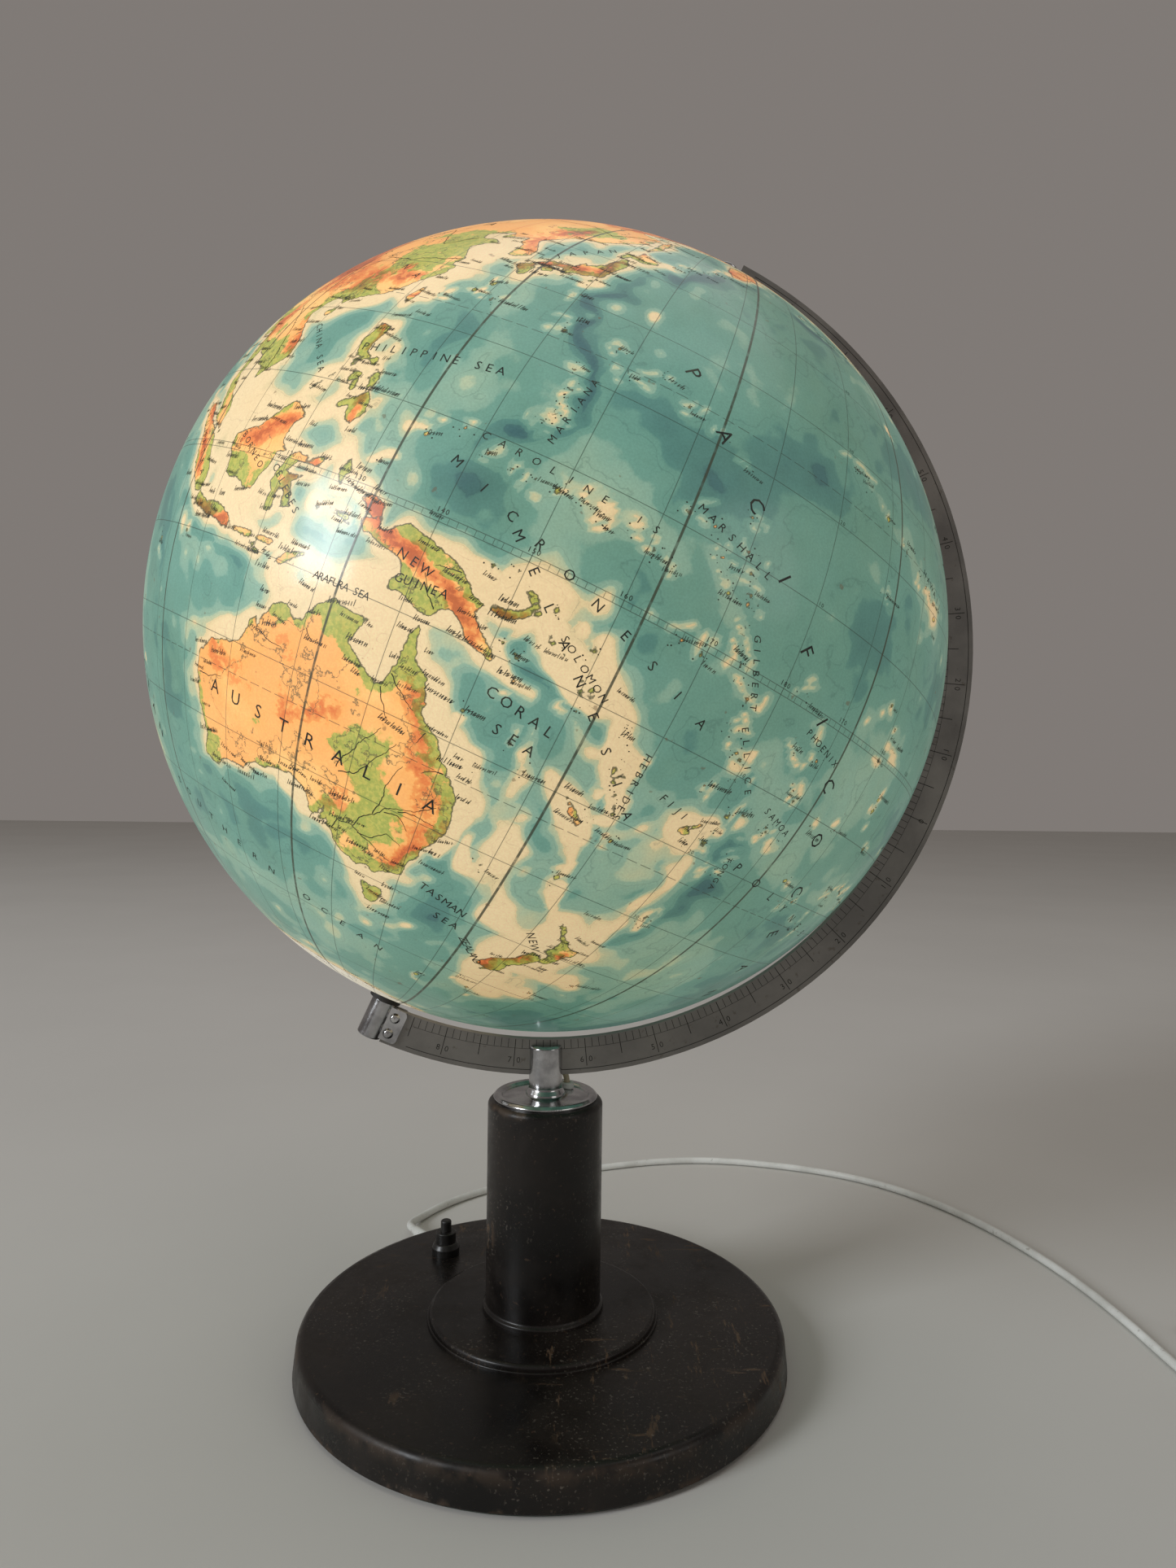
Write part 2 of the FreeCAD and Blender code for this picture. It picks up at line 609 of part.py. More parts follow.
def switch_parts():
    shaft = PLUNGER_RADIUS + 0.08
    body = turned([
        (0, 4.0), (8.5, 4.0, 0.6), (8.5, FLOOR_UNDERSIDE), (4.9, FLOOR_UNDERSIDE),
        (4.9, SWITCH_NECK_TOP, 0.5), (shaft, SWITCH_NECK_TOP), (shaft, 6.0), (0, 6.0),
    ])
    save("switch_body", at_switch(body))
    nut = turned([
        (4.9, BASE_TOP), (6.6, BASE_TOP), (6.8, BASE_TOP + 3.6, 0.6),
        (5.6, SWITCH_COLLAR_TOP, 1.2), (4.9, SWITCH_COLLAR_TOP),
    ])
    save("switch_nut", at_switch(nut))
    plunger = turned([
        (0, 6.0 + SWITCH_TRAVEL + 0.4), (PLUNGER_RADIUS, 6.0 + SWITCH_TRAVEL + 0.4),
        (PLUNGER_RADIUS, PLUNGER_TOP, 1.0), (0, PLUNGER_TOP),
    ])
    save("switch_plunger", at_switch(plunger))
    tabs = [block((4.0, 13.0, 0.8), (SWITCH_X + 2.0, SWITCH_Y - 13.0, 4.2)),
            block((4.0, 13.0, 0.8), (SWITCH_X - 3.0, SWITCH_Y, 4.2))]
    save("switch_tabs", *[tab.cut(at_switch(disc(8.5, 0, 10))).Solids[0] for tab in tabs])


# ---- leads ----

def cord_gland():
    """Tapered strain relief, its flange seated on the side of the base."""
    inside = 9.0
    flange = 1.6
    relief = turned([
        (CORD_RADIUS, -inside), (3.4, -inside, 0.5), (3.4, 0), (5.0, 0, 0.3),
        (5.0, flange, 0.6), (3.5, flange + 0.6, 0.4),
        (2.5, GLAND_LENGTH, 0.2), (CORD_RADIUS, GLAND_LENGTH),
    ])
    relief.rotate(O, FreeCAD.Vector(0, 1, 0), 90)
    relief.rotate(O, Z, CORD_EXIT_AZIMUTH)
    relief.translate(vec(GLAND_OUTER))
    return relief


def mains_cord():
    """The lead from inside its strain relief along the table to the coil."""
    start = vec(GLAND_OUTER) + EXIT_DIRECTION * (GLAND_LENGTH - 5.0)
    return tube_along([start] + [vec(p) for p in CORD_ROUTE], CORD_RADIUS)


def plug_tail():
    return tube_along([vec(p) for p in TAIL_ROUTE] + [vec(PLUG_REAR)], CORD_RADIUS)


def cord_coil():
    """Outer shape of the spare length, wound in a neat round coil."""
    outer, inner = COIL_TURN_RADIUS + COIL_HALF_WIDTH, COIL_TURN_RADIUS - COIL_HALF_WIDTH
    coil = turned([(inner, COIL_LOW, 2.0), (outer, COIL_LOW, 2.0), (outer, COIL_HIGH, 2.0),
                   (inner, COIL_HIGH, 2.0)])
    coil.translate(vec((*COIL_CENTRE, 0)))
    return coil


def coil_tie():
    """Flat band round the coil's turns on the side away from the globe."""
    band = 0.6
    reach = COIL_HALF_WIDTH + 0.35
    height = COIL_HIGH + band - 0.1
    outer = block((2 * (reach + band), TIE_WIDTH, height + 0.1), (-reach - band, 0, 0))
    outer = outer.makeFillet(0.5, [e for e in outer.Edges if abs(e.Length - TIE_WIDTH) < 1e-6])
    inner = block((2 * reach, TIE_WIDTH, COIL_HIGH - COIL_LOW), (-reach, 0, COIL_LOW))
    tie = outer.cut(inner)
    tie.translate(FreeCAD.Vector(COIL_TURN_RADIUS, -TIE_WIDTH / 2, 0))
    tie.rotate(O, Z, -60)
    tie.translate(vec((*COIL_CENTRE, 0)))
    return tie.Solids[0]


PLUG_LENGTH = 35.0
PLUG_WIDTH = 26.0
PLUG_THICKNESS = 13.6
PLUG_RELIEF = 12.0
PIN_PITCH = 18.6


def at_plug(shape):
    """Turn a piece drawn along +X from the plug's rear into its place on the table."""
    placed = shape.copy()
    placed.rotate(O, Z, PLUG_AZIMUTH)
    placed.translate(vec(PLUG_REAR))
    return placed


def plug_body():
    """Flat two-pin plug with a tapered tail."""
    half, narrow = PLUG_WIDTH / 2, 6.0
    outline = [(PLUG_RELIEF, -narrow), (PLUG_RELIEF + 10, -half), (PLUG_RELIEF + PLUG_LENGTH - 6, -half),
               (PLUG_RELIEF + PLUG_LENGTH, -half + 3), (PLUG_RELIEF + PLUG_LENGTH, half - 3),
               (PLUG_RELIEF + PLUG_LENGTH - 6, half), (PLUG_RELIEF + 10, half), (PLUG_RELIEF, narrow)]
    points = [vec((x, y, -PLUG_THICKNESS / 2)) for x, y in outline]
    prism = Part.Face(Part.makePolygon(points + points[:1])).extrude(Z * PLUG_THICKNESS)
    prism = prism.makeFillet(2.0, [e for e in prism.Edges if e.BoundBox.ZLength < 1e-6])
    tail = turned([(0, 0), (3.0, 0, 0.4), (4.6, PLUG_RELIEF + 1), (0, PLUG_RELIEF + 1)])
    tail.rotate(O, FreeCAD.Vector(0, 1, 0), 90)
    return at_plug(prism.fuse(tail).removeSplitter().Solids[0])


def plug_pin(side):
    pin = turned([(0, 0), (1.9, 0), (1.9, 19.0, 1.2), (0, 19.0)])
    pin.rotate(O, FreeCAD.Vector(0, 1, 0), 90)
    pin.translate(FreeCAD.Vector(PLUG_RELIEF + PLUG_LENGTH, side * PIN_PITCH / 2, 0))
    return at_plug(pin)


RING_LEAD_RADIUS = 180.4     # the lead's run behind the ring, about the ball's centre
RING_LEAD_OFFSET = 6.4       # how far it lies behind the ring's middle plane
RING_LEAD_ANGLES = (6.6, 10.0, 13.4, 16.8)


def lamp_lead():
    """Lead from the switch, up the column, behind the ring and into the south barrel."""
    points = [vec(p) for p in COLUMN_LEAD_ROUTE]
    for degrees in RING_LEAD_ANGLES:
        angle = math.radians(degrees)
        points.append(FreeCAD.Vector(-RING_LEAD_RADIUS * math.sin(angle), RING_LEAD_OFFSET,
                                     BALL_HEIGHT - RING_LEAD_RADIUS * math.cos(angle)))
    for x, y in ((12.0, 8.2), (4.4, 12.0), (0.0, 8.4), (0.0, 1.5)):
        points.append(on_axis_point(x, y, -LEAD_ENTRY))
    return tube_along(points, LEAD_RADIUS)


def on_axis_point(x, y, z):
    angle = math.radians(AXIS_TILT)
    return FreeCAD.Vector(x * math.cos(angle) + z * math.sin(angle), y,
                          BALL_HEIGHT - x * math.sin(angle) + z * math.cos(angle))


def lead_clip(degrees):
    """Small saddle soldered to the back of the ring, with a hole along it for the lead."""
    hole = LEAD_RADIUS + 0.3
    outer = hole + 0.7
    width = 4.0
    back = RING_LEAD_OFFSET - RING_THICKNESS / 2
    low, high = FreeCAD.Vector(-width / 2, -back, -outer), FreeCAD.Vector(-width / 2, -back, outer)
    crown_low, crown_high = (FreeCAD.Vector(-width / 2, 0, z) for z in (-outer, outer))
    arch = Part.Arc(crown_low, FreeCAD.Vector(-width / 2, outer, 0), crown_high).toShape()
    sides = [Part.LineSegment(low, crown_low), Part.LineSegment(crown_high, high),
             Part.LineSegment(high, low)]
    wire = Part.Wire([sides[0].toShape(), arch, sides[1].toShape(), sides[2].toShape()])
    saddle = Part.Face(wire).extrude(FreeCAD.Vector(width, 0, 0))
    bore = Part.makeCylinder(hole, width + 2, FreeCAD.Vector(-width / 2 - 1, 0, 0),
                             FreeCAD.Vector(1, 0, 0))
    saddle = saddle.cut(bore)
    # swing it from under the ball's centre to its place along the ring
    saddle.translate(FreeCAD.Vector(0, RING_LEAD_OFFSET, -RING_LEAD_RADIUS))
    saddle.rotate(O, FreeCAD.Vector(0, 1, 0), degrees)
    saddle.translate(Z * BALL_HEIGHT)
    return saddle.Solids[0]


def lead_bush():
    """Pale bush that lines the lead's hole in the cap."""
    bush = turned([
        (LEAD_RADIUS + 0.35, COLUMN_TOP - 1.5), (2.6, COLUMN_TOP - 1.5, 0.2),
        (2.6, CAP_TOP + 0.2), (3.3, CAP_TOP + 0.2), (3.1, CAP_TOP + 2.4, 0.6),
        (LEAD_RADIUS + 0.35, CAP_TOP + 2.4),
    ])
    bush.translate(vec((*OUTLET, 0)))
    return bush


def lead_parts():
    save("cord_gland", cord_gland())
    save("mains_cord", mains_cord())
    save("cord_coil", cord_coil())
    save("coil_tie", coil_tie())
    save("plug_tail", plug_tail())
    save("plug_body", plug_body())
    save("plug_pins", *[plug_pin(side) for side in (-1, 1)])
    save("lamp_lead", lamp_lead())
    save("lead_bush", lead_bush())
    save("lead_clips", *[lead_clip(degrees) for degrees in (8.3, 15.1)])
    low, high = -LEAD_ENTRY - 1.6, HOLDER_LOW + 7.0
    save("tube_lead", on_axis(disc(LEAD_RADIUS, low, high)))
    inner_end = vec(GLAND_OUTER) - EXIT_DIRECTION * 6.0
    switch_entry = (SWITCH_X - 1.0, SWITCH_Y + 9.0, 7.0)
    save("switch_lead", tube_along([inner_end, inner_end - EXIT_DIRECTION * 9.0, vec(switch_entry)],
                                   CORD_RADIUS - 0.1))


if __name__ == "__main__":
    os.makedirs("parts", exist_ok=True)
    base_parts()
    column_parts()
    ring_parts()
    lamp_parts()
    ball_parts()
    switch_parts()
    lead_parts()
    print(f"{node_count} nodes written")
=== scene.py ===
import math

import bpy
import numpy as np
from mathutils import Matrix, Vector, kdtree


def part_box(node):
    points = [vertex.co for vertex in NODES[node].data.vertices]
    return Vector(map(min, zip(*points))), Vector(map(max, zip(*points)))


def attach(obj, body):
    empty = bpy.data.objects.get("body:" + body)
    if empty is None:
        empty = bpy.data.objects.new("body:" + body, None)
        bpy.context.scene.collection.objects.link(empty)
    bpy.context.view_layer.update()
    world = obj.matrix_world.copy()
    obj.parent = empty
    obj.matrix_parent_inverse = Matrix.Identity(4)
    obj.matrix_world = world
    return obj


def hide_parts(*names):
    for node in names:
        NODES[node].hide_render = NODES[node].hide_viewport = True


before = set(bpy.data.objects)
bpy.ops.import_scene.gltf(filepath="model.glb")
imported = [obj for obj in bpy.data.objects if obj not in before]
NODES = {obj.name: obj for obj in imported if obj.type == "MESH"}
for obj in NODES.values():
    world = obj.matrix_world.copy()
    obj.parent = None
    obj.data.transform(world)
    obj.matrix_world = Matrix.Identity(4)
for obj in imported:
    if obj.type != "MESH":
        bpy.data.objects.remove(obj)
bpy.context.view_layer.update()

MM = 0.001

# The globe, in metres: ball, axis and the longitude that turns to the camera.
BALL_RADIUS = 0.165
BALL_CENTRE = Vector((0, 0, 0.3104))
AXIS_TILT = math.radians(24.4)
MAP_TURN = math.radians(-242.95)
MAP_RADIUS = BALL_RADIUS + 0.15 * MM
FIRST_SEAM = 132.5
MM_PER_DEGREE = math.radians(1) * BALL_RADIUS / MM
POLE = Vector((math.sin(AXIS_TILT), 0, math.cos(AXIS_TILT)))
EAST = Vector((math.cos(AXIS_TILT), 0, -math.sin(AXIS_TILT)))
SIDE = Vector((0, 1, 0))


def srgb(red, green, blue):
    """A screen colour of 0 to 255 as linear light with an alpha of 1."""
    scale = [v / 255 for v in (red, green, blue)]
    return [v / 12.92 if v < 0.04 else ((v + 0.055) / 1.055) ** 2.4 for v in scale] + [1.0]


# ---------------------------------------------------------------- camera, light and floor

def turn(axis, degrees):
    return Matrix.Rotation(math.radians(degrees), 4, axis)


def add_camera():
    data = bpy.data.cameras.new("camera")
    data.sensor_width = 36
    data.lens = 23.85
    data.clip_start = 0.02
    camera = bpy.data.objects.new("camera", data)
    camera.matrix_world = (
        Matrix.Translation((-0.0047, -0.4578, 0.2524))
        @ turn("Z", -2.72) @ turn("X", -0.31) @ turn("Y", -0.73) @ turn("X", 90)
    )
    bpy.context.scene.collection.objects.link(camera)
    bpy.context.scene.camera = camera


def add_softbox(name, place, aim, size, watts, colour):
    data = bpy.data.lights.new(name, "AREA")
    data.shape = "RECTANGLE"
    data.size, data.size_y = size
    data.energy = watts
    data.color = colour
    lamp = bpy.data.objects.new(name, data)
    lamp.location = place
    lamp.rotation_euler = (Vector(aim) - Vector(place)).to_track_quat("-Z", "Y").to_euler()
    bpy.context.scene.collection.objects.link(lamp)


def mesh_object(name, points, faces, material=None, smooth=True):
    mesh = bpy.data.meshes.new(name)
    mesh.from_pydata([tuple(p) for p in points], [], faces)
    mesh.validate()
    if smooth:
        mesh.polygons.foreach_set("use_smooth", [True] * len(mesh.polygons))
    made = bpy.data.objects.new(name, mesh)
    bpy.context.scene.collection.objects.link(made)
    if material:
        mesh.materials.append(material)
    return made


# ---------------------------------------------------------------- materials

class Graph:
    """A material's node tree, with short calls for the nodes used here."""

    def __init__(self, name, **sockets):
        self.material = bpy.data.materials.new(name)
        self.material.use_nodes = True
        self.tree = self.material.node_tree
        self.shader = self.tree.nodes["Principled BSDF"]
        self.place = self.add("TexCoord").outputs["Object"]
        self.set(**sockets)

    def set(self, **sockets):
        for name, value in sockets.items():
            self.put(self.shader.inputs[name.replace("_", " ")], value)

    def put(self, socket, value):
        if isinstance(value, bpy.types.NodeSocket):
            self.tree.links.new(value, socket)
        else:
            socket.default_value = value

    def add(self, kind, sockets=(), **settings):
        node = self.tree.nodes.new("ShaderNode" + kind)
        for name, value in settings.items():
            setattr(node, name, value)
        for key, value in dict(sockets).items():
            self.put(node.inputs[key], value)
        return node

    def math(self, operation, a, b=0.0, c=0.0, clamp=False):
        node = self.add("Math", {0: a, 1: b, 2: c}, operation=operation, use_clamp=clamp)
        return node.outputs[0]

    def plus(self, a, b):
        return self.math("ADD", a, b)

    def minus(self, a, b):
        return self.math("SUBTRACT", a, b)

    def times(self, a, b):
        return self.math("MULTIPLY", a, b)

    def most(self, a, b):
        return self.math("MAXIMUM", a, b)

    def gap(self, a, b):
        """How far apart two values are."""
        return self.math("ABSOLUTE", self.minus(a, b))

    def swing(self, value, amount):
        """A value of 0 to 1 spread evenly to both sides of nothing."""
        return self.times(self.minus(value, 0.5), amount)

    def vector(self, operation, a, b=(0, 0, 0)):
        return self.add("VectorMath", {0: a, 1: b}, operation=operation).outputs[0]

    def noise(self, scale, detail=4.0, roughness=0.55, place=None, stretch=None):
        at = place or self.place
        if stretch:
            at = self.vector("MULTIPLY", at, stretch)
        sockets = {"Vector": at, "Scale": scale, "Detail": detail, "Roughness": roughness}
        return self.add("TexNoise", sockets).outputs["Fac"]

    def step(self, value, low, high, out_low=0.0, out_high=1.0):
        """A smooth step of value from low to high."""
        sockets = {"Value": value, "From Min": low, "From Max": high,
                   "To Min": out_low, "To Max": out_high}
        node = self.add("MapRange", sockets, interpolation_type="SMOOTHSTEP")
        return node.outputs["Result"]

    def mix(self, amount, a, b, blend="MIX"):
        node = self.add("Mix", data_type="RGBA", blend_type=blend)
        self.put(node.inputs[0], amount)
        self.put(node.inputs[6], a)
        self.put(node.inputs[7], b)
        return node.outputs[2]

    def ramp(self, value, stops):
        node = self.add("ValToRGB", {0: value})
        places = node.color_ramp.elements
        while len(places) < len(stops):
            places.new(1.0)
        for place, (at, colour) in zip(places, stops):
            place.position, place.color = at, colour
        return node.outputs[0]

    def split(self, place=None):
        return self.add("SeparateXYZ", {0: place or self.place}).outputs

    def bump(self, height, strength, distance):
        sockets = {"Height": height, "Strength": strength, "Distance": distance}
        self.set(Normal=self.add("Bump", sockets).outputs[0])

    def wear(self, edge, scale, chance):
        """Breaks a mask up with noise, so that only part of it is worn."""
        return self.times(edge, self.step(self.noise(scale), chance, chance + 0.12))


def speckled(name, dark, light, scale, rough, bump=0.15, depth=0.1 * MM, **sockets):
    """A plain material whose colour, gloss and surface vary with two noises."""
    g = Graph(name, **sockets)
    broad = g.noise(scale, 6)
    fine = g.noise(scale * 14, 3)
    g.set(Base_Color=g.mix(g.step(broad, 0.3, 0.7), dark, light),
          Roughness=g.step(g.plus(broad, fine), 0.7, 1.3, *rough))
    g.bump(fine, bump, depth)
    return g.material


def moulding():
    """Brown-black moulded resin: mottled, scuffed, and worn along its rims."""
    g = Graph("dark_moulding", Coat_Weight=0.05, Coat_Roughness=0.2, Specular_IOR_Level=0.3)
    across, along, up = g.split()
    radius = g.math("SQRT", g.plus(g.times(across, across), g.times(along, along)))
    base = g.mix(g.step(g.noise(22, 8, 0.6), 0.35, 0.68), srgb(15, 13, 12), srgb(34, 28, 24))
    flecks = g.step(g.noise(420, 2), 0.66, 0.74)
    base = g.mix(g.times(flecks, 0.5), base, srgb(74, 58, 46))
    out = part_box("base_disc")[1].x
    rim = g.times(g.step(radius, out - 3.2 * MM, out - 0.6 * MM), g.step(up, 8 * MM, 16 * MM))
    foot = g.times(g.step(radius, out - 2 * MM, out), g.step(up, 5 * MM, 2 * MM))
    top = g.times(g.step(up, 107 * MM, 111 * MM), g.step(radius, 30 * MM, 26 * MM))
    shoulder = g.times(g.step(radius, 22 * MM, 25 * MM), top)
    worn = g.plus(g.wear(foot, 90, 0.5), g.wear(shoulder, 80, 0.5))
    worn = g.plus(g.wear(rim, 60, 0.46), worn)
    base = g.mix(g.math("MULTIPLY", worn, 0.4, clamp=True), base, srgb(92, 74, 58))
    scuffs = g.most(g.step(g.noise(150, 5, 0.7, stretch=(1, 0.2, 0.3)), 0.6, 0.66),
                    g.step(g.noise(120, 5, 0.7, stretch=(0.18, 1, 0.5)), 0.61, 0.67))
    scuffs = g.times(scuffs, g.step(g.noise(14, 3), 0.48, 0.6))
    base = g.mix(g.times(scuffs, 0.6), base, srgb(104, 82, 62))
    dust = g.times(g.step(g.noise(800, 2), 0.6, 0.7), g.step(g.noise(30), 0.4, 0.65))
    base = g.mix(g.times(dust, 0.4), base, srgb(120, 112, 102))
    rough = g.step(g.noise(45, 6, 0.65), 0.35, 0.7, 0.26, 0.5)
    g.set(Base_Color=base, Roughness=g.plus(rough, g.times(g.most(scuffs, worn), 0.22)))
    g.bump(g.minus(g.noise(700, 4), g.times(scuffs, 0.6)), 0.12, 0.08 * MM)
    return g.material


def metal(name, dark, light, rough, grain=(1, 1, 1), spots=0.7, bump=0.06, **sockets):
    """Metal with a dulled film, a drawn grain and a few dark pits."""
    g = Graph(name, Metallic=1.0, **sockets)
    film = g.noise(70, 6, 0.6)
    lines = g.noise(900, 3, 0.6, stretch=grain)
    pits = g.step(g.noise(650, 2), spots, spots + 0.06)
    base = g.mix(g.step(film, 0.35, 0.65), dark, light)
    g.set(Base_Color=g.mix(g.times(pits, 0.7), base, [0.05, 0.04, 0.035, 1]),
          Roughness=g.step(g.plus(film, g.times(lines, 0.4)), 0.45, 0.95, *rough))
    g.bump(g.minus(lines, pits), bump, 0.05 * MM)
    return g.material


def ring_plate():
    """Dark grey ring metal, brushed round the ball's centre and a little tarnished."""
    g = Graph("ring_metal", Metallic=0.85)
    offset = g.vector("SUBTRACT", g.place, tuple(BALL_CENTRE))
    x, y, z = g.split(offset)
    radius = g.add("VectorMath", {0: offset}, operation="LENGTH").outputs["Value"]
    along = g.times(g.math("ARCTAN2", z, x), 0.004)
    round_it = g.add("CombineXYZ", {0: radius, 1: y, 2: along}).outputs[0]
    brushed = g.noise(2600, 3, 0.6, place=round_it)
    cloud = g.noise(24, 7, 0.62)
    base = g.mix(g.step(cloud, 0.3, 0.7), srgb(116, 114, 111), srgb(140, 137, 132))
    spots = g.step(g.noise(300, 4), 0.64, 0.72)
    rough = g.step(g.plus(cloud, g.times(brushed, 0.5)), 0.5, 1.0, 0.3, 0.46)
    g.set(Base_Color=g.mix(g.times(spots, 0.4), base, srgb(84, 74, 60)), Roughness=rough)
    g.bump(g.plus(brushed, g.times(spots, -0.5)), 0.1, 0.04 * MM)
    return g.material


def felt():
    g = Graph("felt", Roughness=0.95, Sheen_Weight=0.4, Sheen_Roughness=0.5)
    fibres = g.noise(1400, 4, 0.7)
    tufts = g.noise(260, 3)
    g.set(Base_Color=g.mix(g.step(g.plus(fibres, tufts), 0.8, 1.25),
                           srgb(20, 34, 24), srgb(44, 66, 48)))
    g.bump(fibres, 0.6, 0.4 * MM)
    return g.material


def clear_glass():
    g = Graph("bulb_glass", Transmission_Weight=1.0, IOR=1.5)
    haze = g.noise(60, 4)
    g.set(Base_Color=g.mix(g.step(haze, 0.4, 0.7), [0.97, 0.95, 0.9, 1], [0.9, 0.86, 0.78, 1]),
          Roughness=g.step(haze, 0.4, 0.7, 0.02, 0.08))
    return g.material


def hot_wire():
    g = Graph("filament", Metallic=1.0, Emission_Strength=6.0)
    glow = g.noise(900, 2)
    g.set(Base_Color=g.mix(glow, [0.3, 0.28, 0.25, 1], [0.4, 0.38, 0.34, 1]), Roughness=0.4,
          Emission_Color=g.mix(glow, [1, 0.45, 0.12, 1], [1, 0.6, 0.25, 1]))
    return g.material


def pale_pvc():
    """Off-white flexible plastic with hand marks and a faint grain."""
    g = Graph("pale_pvc", Coat_Weight=0.1)
    grime = g.noise(38, 6, 0.65)
    base = g.mix(g.step(grime, 0.35, 0.72), srgb(222, 223, 219), srgb(196, 196, 190))
    marks = g.step(g.noise(240, 4), 0.63, 0.72)
    g.set(Base_Color=g.mix(g.times(marks, 0.45), base, srgb(120, 112, 98)),
          Roughness=g.step(grime, 0.3, 0.7, 0.38, 0.55))
    g.bump(g.noise(1500, 3), 0.12, 0.06 * MM)
    return g.material


def paint_nodes():
    nickel = metal("nickel", srgb(150, 150, 152), srgb(200, 200, 201), (0.1, 0.24))
    steel = metal("steel", srgb(120, 120, 118), srgb(168, 168, 164), (0.28, 0.46))
    makers = {
        "dark_moulding": moulding(),
        "switch_black": speckled("switch_black", srgb(16, 15, 14), srgb(32, 30, 28), 60, (0.28, 0.5)),
        "sheet_steel": metal("sheet_steel", srgb(104, 104, 103), srgb(140, 140, 138), (0.34, 0.55)),
        "steel": steel,
        "felt": felt(),
        "cast_weight": speckled("cast_weight", srgb(48, 46, 45), srgb(84, 80, 76), 90, (0.6, 0.85),
                                0.7, 0.5 * MM, Metallic=0.6),
        "nickel": nickel,
        "ring_metal": ring_plate(),
        "black_fibre": speckled("black_fibre", srgb(26, 25, 24), srgb(48, 45, 42), 160, (0.6, 0.8), 0.4),
        "brass_fitting": metal("brass_fitting", srgb(138, 108, 58), srgb(186, 152, 88), (0.22, 0.42)),
        "bulb_glass": clear_glass(),
        "filament": hot_wire(),
        "map_shell": speckled("map_shell", srgb(216, 196, 160), srgb(232, 216, 186), 30, (0.5, 0.7),
                              Emission_Color=[1, 0.62, 0.32, 1], Emission_Strength=0.25),
        "band_board": speckled("band_board", srgb(92, 84, 68), srgb(126, 116, 96), 120, (0.6, 0.8), 0.3),
        "pale_pvc": pale_pvc(),
        "tie_black": speckled("tie_black", srgb(20, 20, 20), srgb(38, 38, 38), 120, (0.4, 0.6)),
        "lead_sleeve": speckled("lead_sleeve", srgb(186, 172, 142), srgb(208, 196, 168), 80, (0.45, 0.62)),
    }
    for node in NODES.values():
        slots = node.data.materials
        held = [m.name.split(".")[0] for m in slots if m]
        slots.clear()
        slots.append(makers[next(name for name in held if name in makers)])
    return makers


# ---------------------------------------------------------------- lead

# The route's points as in part.py, in millimetres; the coil's turns come between the two.
LEAD = (
    (-64.93, 99.97, 7.6), (-71.0, 109.2, 7.2), (-72.8, 120.5, 4.4), (-69.5, 132.5, 2.1),
    (-60, 148, 2.1), (-43, 166, 2.1), (-18, 183, 2.1), (11, 198, 2.1), (43, 210, 2.1),
    (77, 219, 2.1), (111, 220.5, 2.1), (147, 212.5, 2.1), (183, 198.5, 2.1), (213, 177, 2.1),
    (235.5, 148, 2.1), (252, 115, 2.1), (262.5, 82, 2.1), (269.5, 48, 2.1), (272.5, 14, 2.1),
    (273, -20, 2.1), (274.5, -48, 2.1), (276.2, -73, 2.4),
)
TAIL = ((328.4, -78, 10.2), (328.2, -69, 8.9), (325.4, -60.5, 7.6), (321.6, -51, 7.0))
COIL_CENTRE = (302, -88)
# Each whole turn's place in the coil: its radius and its height.
COIL_SLOTS = (
    (25.9, 2.8), (21.8, 2.8), (17.7, 2.8), (17.7, 6.9), (17.7, 11.0),
    (21.8, 11.0), (21.8, 6.9), (25.9, 6.9), (25.9, 11.0),
)


def coil_points(per_turn=20, turns=8.5, first=0.75, ease=0.25, shift=0.058):
    """The coil's turns; each eases over to the next place a little earlier than the one before."""
    points = []
    for i in range(int(turns * per_turn) + 1):
        t = i / per_turn
        radius, height = COIL_SLOTS[0]
        for k in range(len(COIL_SLOTS) - 1):
            s = min(max((t - first - (1 - shift) * k) / ease, 0), 1)
            s = (1 - math.cos(math.pi * s)) / 2
            radius += s * (COIL_SLOTS[k + 1][0] - COIL_SLOTS[k][0])
            height += s * (COIL_SLOTS[k + 1][1] - COIL_SLOTS[k][1])
        angle = math.pi + 2 * math.pi * t
        points.append((COIL_CENTRE[0] + radius * math.cos(angle),
                       COIL_CENTRE[1] + radius * math.sin(angle), height))
    return points


def add_lead(material):
    curve = bpy.data.curves.new("lead", "CURVE")
    curve.dimensions = "3D"
    curve.bevel_depth = 2 * MM
    curve.bevel_resolution = 6
    curve.resolution_u = 8
    curve.use_fill_caps = True
    route = list(LEAD) + coil_points() + list(TAIL)
    spline = curve.splines.new("NURBS")
    spline.points.add(len(route) - 1)
    for point, place in zip(spline.points, route):
        point.co = (place[0] * MM, place[1] * MM, place[2] * MM, 1)
    spline.order_u = 3
    spline.use_endpoint_u = True
    lead = bpy.data.objects.new("lead", curve)
    bpy.context.scene.collection.objects.link(lead)
    curve.materials.append(material)
    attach(lead, "stand")
    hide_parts("mains_cord", "cord_coil", "plug_tail")


